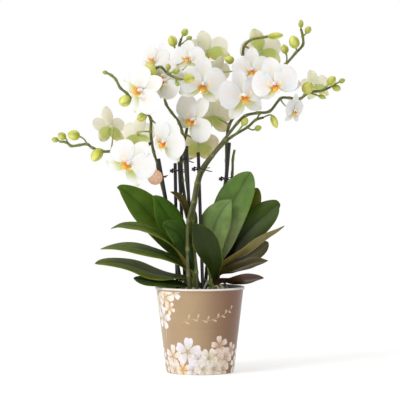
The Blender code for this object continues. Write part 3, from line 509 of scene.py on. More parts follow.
def lip_tissue():
    """Lip and column: waxier than the petals, yellow to orange, freckled red-brown about 0.8 mm
    across where the grain's share is low."""
    finish, tree, shader = new_finish("lip_tissue", Roughness=0.38, IOR=1.42, Subsurface_Weight=0.2,
                                      Subsurface_Scale=0.0015, Coat_Weight=0.1, Coat_Roughness=0.3)
    freckles = add_node(tree, "TexVoronoi", values={"Scale": 1 / 0.0016},
                        links={"Vector": object_places(tree)}).outputs["Distance"]
    share = add_node(tree, "SeparateXYZ", links={0: grain_of(tree)}).outputs[2]
    near = remap(tree, share, 0.15, 0.6, 1.0, 0.0)
    dot = remap(tree, freckles, 0.22, 0.36, 1.0, 0.0)
    amount = add_node(tree, "Math", {"operation": "MULTIPLY"}, links={0: near, 1: dot}).outputs[0]
    colour = add_node(tree, "Mix", {"data_type": "RGBA"}, values={7: (*linear("A8421A"), 1)},
                      links={0: amount, 6: tinted(tree, [])}).outputs[2]
    tree.links.new(colour, shader.inputs["Base Color"])
    bumps = even_noise(tree, 0.0009, 2.0)
    tree.links.new(relief(tree, bumps, 0.0001, 0.5), shader.inputs["Normal"])
    return finish


def spike_skin():
    """Flower spike: a smooth green stem with a thin waxy bloom, streaked along its length and
    flushed darker in patches about 8 mm long."""
    finish, tree, shader = new_finish("spike_skin", Roughness=0.45, IOR=1.45, Subsurface_Weight=0.03,
                                      Subsurface_Scale=0.001)
    streaks = stretched_noise(tree, grain_of(tree), (1.6, 0.06, 0), 1.4, 3.0)
    patches = even_noise(tree, 0.008, 3.0)
    shades = [remap(tree, streaks, 0.3, 0.7, 0.82, 1.18), remap(tree, patches, 0.3, 0.7, 0.75, 1.25)]
    shade(tree, shader, shades, streaks, 0.0002, 0.7)
    return finish


def bud_skin():
    """Flower bud: taut lime sepals, satin, with fine veins along them and green shading at the seams."""
    finish, tree, shader = new_finish("bud_skin", Roughness=0.36, IOR=1.42, Subsurface_Weight=0.15,
                                      Subsurface_Scale=0.0015, Coat_Weight=0.08, Coat_Roughness=0.35)
    veins = stretched_noise(tree, grain_of(tree), (2.2, 0.1, 0), 1.3, 2.0)
    patches = even_noise(tree, 0.006, 2.0)
    shades = [remap(tree, veins, 0.3, 0.7, 0.93, 1.07), remap(tree, patches, 0.3, 0.7, 0.88, 1.12)]
    shade(tree, shader, shades, veins, 0.0001, 0.6)
    return finish


def root_velamen():
    """Aerial root: a silvery spongy coat over green, finely wrinkled along the root."""
    finish, tree, shader = new_finish("root_velamen", Roughness=0.7, IOR=1.4)
    wrinkles = even_noise(tree, 0.0015, 3.0)
    patches = even_noise(tree, 0.006, 2.0)
    shades = [remap(tree, wrinkles, 0.3, 0.7, 0.8, 1.2), remap(tree, patches, 0.3, 0.7, 0.8, 1.2)]
    shade(tree, shader, shades, wrinkles, 0.0003, 0.8)
    return finish


def fir_bark():
    """Orchid bark: broken chips of fir bark, dull and fibrous, with layers about 0.7 mm apart."""
    finish, tree, shader = new_finish("fir_bark", Roughness=0.85, IOR=1.45)
    fibres = stretched_noise(tree, object_places(tree), (1, 1, 3.5), 1 / 0.0025, 4.0)
    patches = even_noise(tree, 0.009, 3.0)
    shades = [remap(tree, fibres, 0.3, 0.7, 0.6, 1.4), remap(tree, patches, 0.3, 0.7, 0.75, 1.3)]
    shade(tree, shader, shades, fibres, 0.0008, 0.9)
    return finish


def pot_glaze():
    """Glazed earthenware in taupe: an even satin glaze with soft clouding some 25 mm across,
    faint turning bands 4 mm apart and specks under a millimetre."""
    finish, tree, shader = new_finish("pot_glaze", Roughness=0.38, IOR=1.5, Coat_Weight=0.25,
                                      Coat_Roughness=0.22)
    places = object_places(tree)
    clouds = stretched_noise(tree, places, (1, 1, 1), 1 / 0.025, 2.0)
    bands = stretched_noise(tree, places, (0.05, 0.05, 1), 1 / 0.004, 2.0)
    specks = stretched_noise(tree, places, (1, 1, 1), 1 / 0.0008, 2.0)
    shades = [remap(tree, clouds, 0.3, 0.7, 0.95, 1.05), remap(tree, specks, 0.3, 0.7, 0.96, 1.04),
              remap(tree, bands, 0.3, 0.7, 0.98, 1.02)]
    tree.links.new(tinted(tree, shades), shader.inputs["Base Color"])
    tree.links.new(remap(tree, clouds, 0.3, 0.7, 0.34, 0.42), shader.inputs["Roughness"])
    fine = relief(tree, specks, 0.00004, 0.4)
    tree.links.new(relief(tree, bands, 0.0001, 0.5, fine), shader.inputs["Normal"])
    return finish


def transfer_print():
    """Ceramic transfer fired on the glaze: thin enamel, matter than the glaze round it, with pencil-fine
    petal veins 0.7 mm apart."""
    finish, tree, shader = new_finish("transfer_print", Roughness=0.45, IOR=1.5)
    veins = stretched_noise(tree, grain_of(tree), (1.5, 0.15, 0), 1.0, 2.0)
    wash = even_noise(tree, 0.004, 2.0)
    shades = [remap(tree, veins, 0.35, 0.65, 0.93, 1.04), remap(tree, wash, 0.3, 0.7, 0.94, 1.05)]
    shade(tree, shader, shades, wash, 0.00005, 0.4)
    return finish


def moulded_plastic(name, roughness, speck, streak):
    """Injection-moulded or extruded polypropylene: low gloss, with specks of that many mm and
    draw lines along the piece of that strength."""
    finish, tree, shader = new_finish(name, Roughness=roughness, IOR=1.49)
    specks = even_noise(tree, speck * MM, 2.0)
    lines = stretched_noise(tree, grain_of(tree), (2.0, 0.02, 0), 1.5, 2.0)
    shades = [remap(tree, specks, 0.3, 0.7, 0.9, 1.1), remap(tree, lines, 0.3, 0.7, 1 - streak, 1 + streak)]
    tree.links.new(tinted(tree, shades), shader.inputs["Base Color"])
    tree.links.new(remap(tree, specks, 0.3, 0.7, roughness - 0.04, roughness + 0.06),
                   shader.inputs["Roughness"])
    tree.links.new(relief(tree, lines, 0.0001, 0.5), shader.inputs["Normal"])
    return finish


def grow_pot_plastic():
    """Recycled polypropylene of the grow pot: charcoal, thin and slightly mottled."""
    finish, tree, shader = new_finish("grow_pot_plastic", Roughness=0.5, IOR=1.49)
    mottle = even_noise(tree, 0.003, 2.0)
    colour = add_node(tree, "Mix", {"data_type": "RGBA"},
                      values={6: (*linear("242426"), 1), 7: (*linear("323234"), 1)},
                      links={0: remap(tree, mottle, 0.3, 0.7, 0.0, 1.0)}).outputs[2]
    tree.links.new(colour, shader.inputs["Base Color"])
    tree.links.new(relief(tree, mottle, 0.0001, 0.4), shader.inputs["Normal"])
    return finish


def studio_floor():
    """Matt white board that takes a soft shadow near the pot and fades into the white surround."""
    finish, tree, shader = new_finish("studio_floor", Roughness=0.9, Emission_Color=(1, 1, 1, 1),
                                      Emission_Strength=0.35)
    places = object_places(tree)
    clouds = stretched_noise(tree, places, (1, 1, 1), 2.0, 1.0)
    colour = add_node(tree, "Mix", {"data_type": "RGBA"},
                      values={6: (*linear("F6F6F5"), 1), 7: (*linear("FAFAFA"), 1)},
                      links={0: clouds}).outputs[2]
    tree.links.new(colour, shader.inputs["Base Color"])
    away = add_node(tree, "VectorMath", {"operation": "LENGTH"}, links={0: places}).outputs["Value"]
    seen = add_node(tree, "LightPath").outputs["Is Camera Ray"]
    share = add_node(tree, "Math", {"operation": "MULTIPLY"},
                     links={0: remap(tree, away, 0.25, 0.8, 0.0, 1.0), 1: seen}).outputs[0]
    white = add_node(tree, "Emission", values={"Color": (1, 1, 1, 1), "Strength": 1.0}).outputs[0]
    blended = add_node(tree, "MixShader", links={0: share, 1: shader.outputs[0], 2: white}).outputs[0]
    end = next(node for node in tree.nodes if node.bl_idname == "ShaderNodeOutputMaterial")
    tree.links.new(blended, end.inputs["Surface"])
    return finish


# ---- Pot, bark and roots ---------------------------------------------------

POT_GLAZE = linear("B0946F")
# Painted shade: the glaze is painted darker round the pot towards +X, away from the key light
POT_SHADED_UMBER = linear("714422")
POT_WHITE = linear("F1ECE6")
# Painted shade: the inner wall's dark umber stands for the shade inside the pot
POT_INSIDE_SHADE = linear("4A3A2C")


def pot_radius(z):
    """Outer radius of the pot's straight tapered wall at a height."""
    return POT_FOOT_RADIUS + (POT_TOP_RADIUS - POT_FOOT_RADIUS) * z / POT_HEIGHT


def make_pot(finish):
    """Outer wall from the foot's rounded edge up to a beaded white rim, then down the inner wall, painted
    dark umber as the shade inside the pot.
    The glaze is painted from tan to umber round the pot towards +X, as painted shade on the side away from
    the key light."""
    turn = np.linspace(-math.pi / 2, 0, 7)
    r = POT_FOOT_ROUND
    foot = np.stack([pot_radius(r) - r + r * np.cos(turn), r + r * np.sin(turn)], -1)
    z = np.linspace(r, POT_HEIGHT - 3 * RIM_BEAD, 34)[1:]
    wall = np.stack([pot_radius(z), z], -1)
    bead = RIM_BEAD
    lean = np.linspace(-math.pi / 2, math.pi / 2, 9)
    lip = np.stack([POT_TOP_RADIUS - 0.3 * bead + 1.3 * bead * np.cos(lean),
                    POT_HEIGHT - 1.4 * bead + 1.4 * bead * np.sin(lean)], -1)
    inner = np.array([(POT_TOP_RADIUS - POT_WALL + 0.5 * bead, POT_HEIGHT - 0.1 * bead),
                      (POT_TOP_RADIUS - POT_WALL, POT_HEIGHT - 0.8 * bead),
                      (pot_radius(POT_HEIGHT / 2) - POT_WALL, POT_HEIGHT / 2),
                      (pot_radius(POT_FLOOR) - POT_WALL, POT_FLOOR)])
    profile = np.vstack([[(0.5 * POT_FOOT_RADIUS, 0)], foot, wall, lip, inner,
                         [(0.3 * POT_FOOT_RADIUS, POT_FLOOR)]])
    white = np.zeros(len(profile))
    first_white = 1 + len(foot) + len(wall) + 4
    white[first_white:first_white + 6] = 1
    rings, _, grain = turned_skin(profile, POT_WHITE, 160)
    # Painted shade: the glaze is painted darker towards +X, the side away from the key light
    shade_share = step_up(rings[..., 0] / POT_TOP_RADIUS, -0.35, 0.95)
    glaze = blend(POT_GLAZE, POT_SHADED_UMBER, shade_share)
    # Painted shade: the inner wall below the white rim is painted dark
    glaze[first_white:] = POT_INSIDE_SHADE
    tint = blend(glaze, POT_WHITE + 0 * glaze, white[:, None] + 0 * shade_share)
    make_piece("pot_glazed", [(rings, tint, grain)], finish, ["pot_cover"], 50)


def on_pot(across, height, out):
    """Points on the pot's wall: across is the distance round it from the front, both in mm, and out
    stands proud of the glaze."""
    z = np.clip(height, 0.5, POT_HEIGHT / MM - 3.3 * RIM_BEAD / MM) * MM
    sunk = POT_FOOT_ROUND - np.minimum(z, POT_FOOT_ROUND)
    radius = pot_radius(np.maximum(z, POT_FOOT_ROUND)) - POT_FOOT_ROUND
    radius = radius + np.sqrt(POT_FOOT_ROUND ** 2 - sunk ** 2)
    angle = across * MM / pot_radius(0.5 * POT_HEIGHT)
    spread = (radius + out * MM)
    return np.stack([spread * np.sin(angle), -spread * np.cos(angle), z], -1)


def print_petal(centre, turn, length, width, notch, inner, outer):
    """A petal of the print: shrinking copies of a rounded outline, raised about 0.15 mm. The outline is
    an ellipse, wider towards its tip, and a notch may cut the tip."""
    a = ring_angles(26)[None]
    share = np.array([1.0, 0.96, 0.8, 0.55, 0.25])[:, None]
    out = np.array([-0.15, 0.12, 0.14, 0.15, 0.15])[:, None]
    along = 0.5 + 0.5 * np.cos(a)
    along = along * (1 - notch * hump(a - math.pi * 2 * (a > math.pi), 0, 0.35))
    side = np.sin(a) * (0.55 + 0.45 * along) * 0.5
    u = (0.5 + (along - 0.5) * share) * length
    v = side * share * width
    c, s = math.cos(math.radians(turn)), math.sin(math.radians(turn))
    rings = on_pot(centre[0] + u * c - v * s, centre[1] + u * s + v * c, out)
    tint = blend(inner, outer, step_up(u / length, 0.05, 0.75))
    grain = np.stack([v, u, u / length], -1)
    return rings, tint, grain


PRINT_PETALS = 5
PRINT_NOTCH = 0.12  # how deep a petal's tip is cut, as a share of its length


def print_flower(centre, size, turn, tip, heart, width):
    """Five petals of one width round a heart, and a dot of stamens in the middle."""
    skins = []
    for i in range(PRINT_PETALS):
        angle = turn + i * 360 / PRINT_PETALS
        start = (centre[0] + 0.06 * size * math.cos(math.radians(angle)),
                 centre[1] + 0.06 * size * math.sin(math.radians(angle)))
        skins.append(print_petal(start, angle, size * 0.5, size * 0.5 * width, PRINT_NOTCH, linear(heart),
                                 linear(tip)))
    skins.append(print_petal((centre[0] - 0.07 * size, centre[1]), 0, 0.14 * size, 0.14 * size, 0,
                             linear("B9A77E"), linear("CDBB8C")))
    return skins


def print_line(points, width, code):
    """A thin printed line: a flattened tube along points on the wall."""
    line = smooth_line([(x, 0, z) for x, z in points], 8)
    places = on_pot(line[:, 0], line[:, 2], 0 * line[:, 0])
    return tube_skin(places, width * MM / 2, linear(code), 6)


# Flowers of the print: distance round from the front and height (mm), size (mm), turn (degrees),
# tip colour, heart colour, petal width
# Painted shade: the print's own pale colours are given warmer and darker for flowers further round towards
# +X, the side away from the key light
PRINTED_FLOWERS = [
    (-14.5, 26, 31, 84, "F2ECF4", "D9D2C8", 0.88),
    (-2, 18, 20, 20, "EFEAF1", "D8D0CC", 0.92),
    (11, 19, 23, 60, "EFE6DA", "CFC7A6", 0.94),
    (24, 33, 21, 100, "EBD6C6", "C7A78C", 0.80),
    (21, 20, 20, 10, "EADACB", "CDB195", 0.92),
    (33, 18, 24, 75, "EBD8CC", "C9AD95", 0.90),
    (43, 27, 17, 30, "E7D3C4", "C4A78C", 0.84),
    (4, 7.5, 23, 40, "EEE4D8", "CFC6B0", 0.94),
    (18, 7, 22, 85, "EDE2DA", "CDBFAA", 0.94),
    (31, 6.5, 19, 15, "E9DACC", "C9B195", 0.92),
    (-8, 5.5, 18, 65, "F0EAF0", "D4CCC4", 0.92),
    (-22, 6.0, 19, 95, "F5E9DC", "E9B777", 0.78),
    (-36, 20, 26, 85, "F4ECE6", "E6D3B8", 0.74),
    (-34, 5, 17, 50, "F2E9E2", "DCC9B0", 0.84),
    (-45, 10, 18, 20, "F3EAE2", "DCC9B0", 0.88),
    (-41, 85, 22, 70, "F6EBDD", "E4C9A0", 0.78),
    (-28, 91, 17, 30, "F6F0EE", "E3D6C2", 0.88),
    (-35, 74, 15, 120, "F5E8D8", "E2C49A", 0.74),
    (-48, 92, 17, 10, "F5ECE4", "E0CFB4", 0.82),
    (-48, 62, 25, 80, "F5F0F0", "DFD6CC", 0.80),
    (-55, 78, 18, 40, "F5ECE4", "E0CFB4", 0.80),
]


BORDER_FLOWERS = 26


def make_print(finish):
    """The flowers above, a border of more round the sides and back, stems between them, and a plain
    sprig across the front."""
    skins = []
    for across, height, size, turn, tip, heart, width in PRINTED_FLOWERS:
        skins += print_flower((across, height), size, turn, tip, heart, width)
    dice = np.random.default_rng(7)
    round_half = math.pi * pot_radius(0.5 * POT_HEIGHT) / MM
    for i in range(BORDER_FLOWERS):
        across = 52 + (2 * round_half - 108) * (i + 0.5) / BORDER_FLOWERS + dice.uniform(-2, 2)
        height = (7, 20, 13)[i % 3] + dice.uniform(-2, 3)
        tip, heart = (("EFE6DA", "CFC7A6"), ("F0EAF0", "D4CCC4"), ("EBD8CC", "C9AD95"))[i % 3]
        skins += print_flower((across, height), dice.uniform(14, 22), dice.uniform(0, 72), tip, heart,
                               dice.uniform(0.72, 0.88))
    for points in ([(-30, 12), (-27, 20), (-22, 27)], [(18, 14), (28, 12), (38, 10), (45, 13)],
                   [(-44, 70), (-47, 60), (-45, 48), (-46, 38)], [(24, 25), (26, 18), (24, 12)]):
        skins.append(print_line(points, 0.7, "E6D3BA"))
    sprig = smooth_line([(-22, 0, 58), (-8, 0, 63), (8, 0, 61), (24, 0, 66), (36, 0, 73)], 6)
    skins.append(print_line([(x, z) for x, _, z in sprig[::3]], 0.6, "C9AD8C"))
    for i, (x, _, z) in enumerate(sprig[2::2]):
        side = 1 if i % 2 else -1
        skins.append(print_petal((x, z), 25 + side * 48, 7.0 - 0.25 * i, 2.6, 0, linear("C9AE8C"),
                                 linear("D3B998")))
    make_piece("pot_print", skins, finish)


def make_bark_chips(finish, chips):
    """A bed a little inside the CAD bark, painted near-black brown, partly bark and partly the shade between
    the chips, and chips on it: each is five rings of eight points, squared off, knocked about at random,
    stretched, turned and dropped in place."""
    low, high = (np.array(corner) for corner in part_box("bark"))
    reach = high[0]
    bed = [(0.4 * reach, low[2]), (0.9 * reach, low[2]), (reach, high[2] - 0.003),
           (0.75 * reach, high[2] - 0.0012), (0.3 * reach, high[2] - 0.0004)]
    # Partly painted shade: the bed's near-black brown is partly bark and partly the shade that falls between
    # the chips
    skins = [turned_skin(bed, linear("2C1B10"), 64)]
    dice = np.random.default_rng(21)
    a = ring_angles(8)
    spread = np.array([0.35, 0.85, 1.0, 0.9, 0.4])
    level = np.array([-1, -0.72, 0, 0.72, 1])
    codes = [linear(code) for code in ("6B4426", "7C5230", "523319", "8A6038", "3E2614", "74492C")]
    for _ in range(chips):
        distance = (reach - 3 * MM) * math.sqrt(dice.uniform(0, 1))
        angle = dice.uniform(0, math.tau)
        half = np.array([dice.uniform(3.5, 7.5), dice.uniform(2.2, 4.2), dice.uniform(1.1, 2.2)]) * MM
        square = np.maximum(np.abs(np.cos(a)), np.abs(np.sin(a))) ** -0.7
        rings = np.stack([spread[:, None] * square * np.cos(a), spread[:, None] * square * np.sin(a),
                          level[:, None] + 0 * a], -1)
        rings = (rings + dice.normal(0, 0.11, rings.shape)) * half
        turn, tip, roll = dice.uniform(0, math.tau), dice.normal(0, 0.35), dice.normal(0, 0.3)
        axes = turned_axes(turn, tip, roll)
        near_rim = max(0, distance + half[0] - (reach - 0.5 * MM))
        distance -= near_rim
        origin = (distance * math.cos(angle), distance * math.sin(angle),
                  high[2] - 0.0012 - 0.0028 * (distance / reach) ** 2 + dice.uniform(-0.6, 1.2) * MM)
        tint = codes[dice.integers(len(codes))] * dice.uniform(0.75, 1.2)
        skins.append(placed((rings, np.broadcast_to(tint, rings.shape), rings / MM), origin, axes))
    make_piece("bark_chips", skins, finish, ["bark"], 35)


def turned_axes(turn, tip, roll):
    """Axes turned about Z, then tipped about Y, then rolled about X, in radians."""
    c, s = math.cos(turn), math.sin(turn)
    about_z = np.array([[c, -s, 0], [s, c, 0], [0, 0, 1]])
    c, s = math.cos(tip), math.sin(tip)
    about_y = np.array([[c, 0, s], [0, 1, 0], [-s, 0, c]])
    c, s = math.cos(roll), math.sin(roll)
    about_x = np.array([[1, 0, 0], [0, c, -s], [0, s, c]])
    return about_z @ about_y @ about_x


# More roots than the CAD ones: crown, end in plan (mm), how high the arch rises (mm)
FINE_ROOTS = [("crown_left", (-27, -22), 5), ("crown_left", (-22, 6), 6), ("crown_left", (6, -30), 4),
              ("crown_left", (-15, 24), 7), ("crown_right", (33, 8), 5), ("crown_right", (24, -30), 6),
              ("crown_right", (4, -32), 4), ("crown_right", (30, -14), 8), ("crown_right", (26, 24), 6),
              ("crown_left", (-31, -8), 9), ("crown_left", (4, 14), 11), ("crown_right", (-3, 10), 12),
              ("crown_right", (34, -4), 12), ("crown_right", (2, -20), 10), ("crown_left", (-28, 12), 12)]


def make_crowns(finish, skin_finish):
    """Crown: a short fat stem in overlapping sheaths. Roots: tubes that arch out and dip into the
    bark, swollen and wavy, green at the crown and silver further out."""
    for name, ((x, y), ends) in CROWNS.items():
        low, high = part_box(name)
        z = np.linspace(low.z - 2 * MM, high.z, 22)
        t = np.linspace(0, 1, 22)
        radius = (5.2 - 1.6 * t + 0.5 * np.abs(np.sin(t * 9))) * MM
        radius[-1] *= 0.3
        line = np.stack([x * MM + 0 * z, y * MM + 0 * z, z], -1)
        tint = blend(linear("6E7A3A"), linear("8FA24C"), t)
        make_piece(name + "_stem", [tube_skin(line, radius, tint, 20)], skin_finish, [name])
        roots = []
        arches = [(end, 4) for end in ends] + [(e, rise) for crown, e, rise in FINE_ROOTS if crown == name]
        for i, ((end_x, end_y), rise) in enumerate(arches):
            start = np.array([x * MM, y * MM, low.z + 5 * MM])
            end = np.array([end_x * MM, end_y * MM, low.z + 1.0 * MM])
            middle = (start + end) / 2 + (0, 0, rise * MM)
            dip = end + (end - start) * (0.14, 0.14, 0) - (0, 0, 4 * MM)
            path = smooth_line([start, middle, end, dip], 9)
            share = np.linspace(0, 1, len(path))
            path[:, 2] += 0.35 * MM * np.sin(share * 15 + i)
            thick = (1.9 if i < 2 else 1.35) * MM * (1 - 0.2 * share)
            thick = thick * (1 + 0.08 * np.sin(share * 23 + 2 * i))
            tint = blend(linear("8C9A55"), linear("A7A68D"), step_up(share, 0.05, 0.4))
            roots.append(tube_skin(path, thick, tint, 10))
        make_piece(name + "_roots", roots, finish)


# ---- Stakes, clips and tag -------------------------------------------------

def stake_ends(name):
    """Top and foot of a stake: it passes the rim level at its given place."""
    top, (rim_x, rim_y) = STAKES[name]
    head = lifted(top)
    rim = lifted((rim_x, rim_y, RIM_LEVEL))
    down = (head - rim) / (head[2] - rim[2])
    return head, rim - down * (rim[2] - STAKE_FOOT)


def make_stakes(finish):
    """Extruded plant stakes: straight bars with a little taper just under a flat cut top."""
    for name in STAKES:
        head, foot = stake_ends(name)
        t = np.concatenate([np.linspace(0, 0.985, 24), [0.994, 0.9985, 1.0, 1.0]])
        radius = np.concatenate([np.full(25, 1.0), [0.97, 0.86, 0.3]]) * STAKE_RADIUS
        line = foot + (head - foot) * t[:, None]
        line[-1] += (head - foot) * 1e-5
        bar = tube_skin(line, radius, linear("232021"), 18)
        make_piece(name + "_bar", [bar], finish, [name], 50)


def stem_at(name, height):
    """Where a spike's main stem first passes a height."""
    points = lifted(SPIKES[name]["main"])
    above = int(np.argmax(points[:, 2] > height))
    a, b = points[above - 1], points[above]
    return a + (b - a) * (height - a[2]) / (b[2] - a[2])


def tie_circle(height_mm, names):
    """Centre and radius of the ring round a stake and the stems tied to it."""
    height = height_mm * MM + PLANT_SHIFT
    spots = []
    for name in names:
        if name in STAKES:
            head, foot = stake_ends(name)
            spots.append(foot + (head - foot) * (height - foot[2]) / (head[2] - foot[2]))
        else:
            spots.append(stem_at(name, height))
    spots = np.array(spots)
    centre = spots.mean(0)
    reach = np.linalg.norm(spots - centre, axis=1).max()
    return centre, reach + max(STEM_RADIUS, STAKE_RADIUS) + CLIP_CLEARANCE + CLIP_WIRE_RADIUS


def claw(centre, radius, start, sweep, rise, tint):
    """One claw of a clip: a round wire bent to an arc that climbs, thinner at its tip, and hooked out."""
    t = np.linspace(0, 1, 26)
    angle = np.radians(start + sweep * t)
    reach = radius * (1 + 0.5 * np.maximum(t - 0.88, 0) / 0.12)
    line = centre + np.stack([reach * np.cos(angle), reach * np.sin(angle), rise * (t - 0.5)], -1)
    thick = CLIP_WIRE_RADIUS * (1 - 0.35 * t ** 3)
    thick[-1] *= 0.4
    return tube_skin(line, thick, tint, 10)


def finger_tab(start, heading, length, width, tint):
    """A flat pressing tab of a clip: a bar that widens to a rounded end."""
    t = np.linspace(0, 1, 12)
    line = start + np.outer(t, heading) * length
    line[:, 2] += 0.12 * length * t ** 2
    rounding = np.sqrt(np.clip(1 - (np.maximum(t - 0.75, 0) / 0.26) ** 2, 0.05, 1))
    size = width / 2 * rounding * (0.75 + 0.25 * t)
    return tube_skin(line, size, tint, 10)


CLIP_BLACK = "1D1B1C"
HINGE_SIDE = 200  # degrees round the clip where its hinge stands


def make_clips(finish):
    """Claw clips: two claws round the stems, sprung from a hinge with two finger tabs."""
    dark = linear(CLIP_BLACK)
    angle = math.radians(HINGE_SIDE)
    for name, (height, names) in CLIPS.items():
        centre, radius = tie_circle(height, names)
        skins = [claw(centre, radius, HINGE_SIDE, -165, 3.5 * MM, dark),
                 claw(centre, radius, HINGE_SIDE, 165, -5.0 * MM, dark)]
        hinge = centre + np.array([radius * math.cos(angle), radius * math.sin(angle), 0])
        barrel = hinge + np.outer(np.linspace(-1, 1, 6), (0, 0, 2.4 * MM))
        skins.append(tube_skin(barrel, np.array([0.8, 1.1, 1.2, 1.2, 1.1, 0.8]) * MM, dark, 12))
        for side in (-1, 1):
            heading = unit(np.array([-0.8, -0.25 * side - 0.2, 0.35 * side]))
            skins.append(finger_tab(hinge, heading, 3.4 * MM, 1.8 * MM, dark))
        make_piece(name + "_claws", skins, finish, [name], 40)


def make_tag(finish, clip_finish):
    """Round tag: a moulded disc with a raised edge, a shallow dished face and a plain five-petal
    relief. It is a lathe shape about Y whose face is pushed out by the relief."""
    centre, radius = tie_circle(*TAG_TIES)
    front = centre[1] - radius - CLIP_WIRE_RADIUS / 2
    middle = np.array([centre[0] + TAG_OFFSET[0], front, centre[2]])
    share = np.array([0.2, 0.6, 0.92, 0.98, 1.0, 1.0, 0.985, 0.95, 0.9, 0.86, 0.82, 0.75, 0.66, 0.56, 0.46,
                      0.36, 0.26, 0.17, 0.09])
    depth = np.array([1, 1, 1, 0.9, 0.6, -0.6, -0.9, -1.0, -1.0, -0.95, -0.7, -0.62] + [-0.6] * 7)
    a = ring_angles(72)[None]
    petals = np.abs(np.cos(2.5 * a)) * 0.62
    raise_up = step_up(petals - share[:, None] + 0.12, 0, 0.1) * (np.arange(19) > 10)[:, None]
    y = (depth[:, None] - 0.3 * raise_up) * TAG_THICKNESS / 2
    rings = middle + np.stack([share[:, None] * np.cos(a) * TAG_RADIUS, y + 0 * a,
                               share[:, None] * np.sin(a) * TAG_RADIUS], -1)
    tint = blend(linear("E9B795"), linear("F2CBAD"), raise_up)
    grain = rings / MM
    make_piece("tag_face", [(rings, tint, grain)], finish, ["tag_disc"], 60)
    dark = linear(CLIP_BLACK)
    skins = [claw(centre, radius, 250, -300, 0.8 * MM, dark)]
    start = middle + (2 * MM, TAG_THICKNESS, 0)
    skins.append(finger_tab(start, unit(np.array([1, -0.15, 0.05])), 13 * MM, 1.5 * MM, dark))
    make_piece("tag_clip", skins, clip_finish)


# ---- Leaves ----------------------------------------------------------------

LEAF_BASE_SHARE = 0.42
LEAF_BROADEST = 0.6

# Looks of each blade: upper side near the base, upper side near the tip, under side, margin; then how
# far it folds at the rib (degrees), rolls at the edges, waves (shares of the half width), leans wider
# to one side, and how pointed it ends.
LEAF_LOOKS = {
    "leaf_left_1": ("3B5212", "4C6A17", "5B6222", "6E7E25", 10, 0.10, 0.05, 0.05, 0.8),
    "leaf_left_2": ("3A5C14", "4A7018", "565D22", "6F8026", 10, 0.12, 0.04, -0.05, 0.9),
    "leaf_left_3": ("2C4611", "3A5617", "535B22", "6B7E25", 8, 0.14, 0.03, 0.0, 0.5),
    "leaf_left_4": ("40541A", "566923", "6F612C", "8E8D37", 12, 0.22, 0.05, 0.0, 0.8),
    "leaf_left_5": ("4E6026", "637530", "72632D", "92933A", 12, 0.22, 0.04, 0.0, 0.8),
    "leaf_left_6": ("4A5920", "5C6A20", "6D612C", "8F9339", 9, 0.16, 0.07, 0.0, 0.7),
    "leaf_left_7": ("2D4714", "3D5A18", "4A441E", "5F7021", 9, 0.14, 0.05, 0.0, 0.5),
    # Painted highlight: leaf_right_1's pale grey-green near the base is painted sheen over its own green
    "leaf_right_1": ("A3B078", "5B7A36", "5B6222", "5F7721", 9, 0.08, 0.03, 0.04, 0.4),
    # Painted highlight: leaf_right_2's pale grey-green near the base is painted sheen over its own green
    "leaf_right_2": ("8A9C62", "708A4C", "5B6222", "68822B", 9, 0.10, 0.03, 0.0, 1.0),
    # Partly painted shade: leaf_right_3's under side is its olive darkened for the shade under the arching
    # blade
    "leaf_right_3": ("3A4D15", "334919", "222E06", "6B7E22", 10, 0.12, 0.03, -0.12, 1.0),
    # Painted shadow: leaf_right_4's near-black upper side stands for the shadow cast on it by leaf_right_1
    "leaf_right_4": ("0C1004", "3A4E10", "565822", "6C7921", 11, 0.10, 0.06, -0.05, 0.3),
    "leaf_right_5": ("3A4612", "565F15", "5D5224", "757822", 8, 0.08, 0.04, 0.0, 0.3),
    "leaf_right_6": ("363F13", "434B16", "74672E", "8B7B34", 16, 0.10, 0.05, 0.0, 1.0),
    "leaf_right_7": ("1F260B", "2C340E", "45401A", "5B5721", 10, 0.10, 0.05, 0.0, 0.5),
    "leaf_right_8": ("2B3411", "3B4418", "54471F", "756A30", 14, 0.14, 0.05, 0.0, 1.0),
    "leaf_right_9": ("20180B", "3A2616", "46301E", "5E4226", 10, 0.12, 0.05, 0.0, 0.7),
    "leaf_young_1": ("4A4818", "5B521E", "5A4421", "7B702B", 38, 0.0, 0.03, 0.0, 1.0),
    "leaf_young_2": ("3F5215", "55671C", "565D22", "757E25", 24, 0.05, 0.02, 0.0, 0.6),
}


def blade_share(t, point):
    """Half width against the full one, base 0 to tip 1: a quarter sine up to the broadest place,
    then an end that is round at point 0 and comes to a corner at point 1. Below the base, the sheath
    narrows."""
    grow = LEAF_BASE_SHARE + (1 - LEAF_BASE_SHARE) * np.sin(math.pi / 2 * np.clip(t / LEAF_BROADEST, 0, 1))
    past = np.clip((t - LEAF_BROADEST) / (1 - LEAF_BROADEST), 0, 1)
    end = np.clip(1 - past ** (2.4 - 0.7 * point), 0.0004, 1) ** (0.5 + 0.35 * point)
    return (grow + np.minimum(t, 0) * 0.5) * end


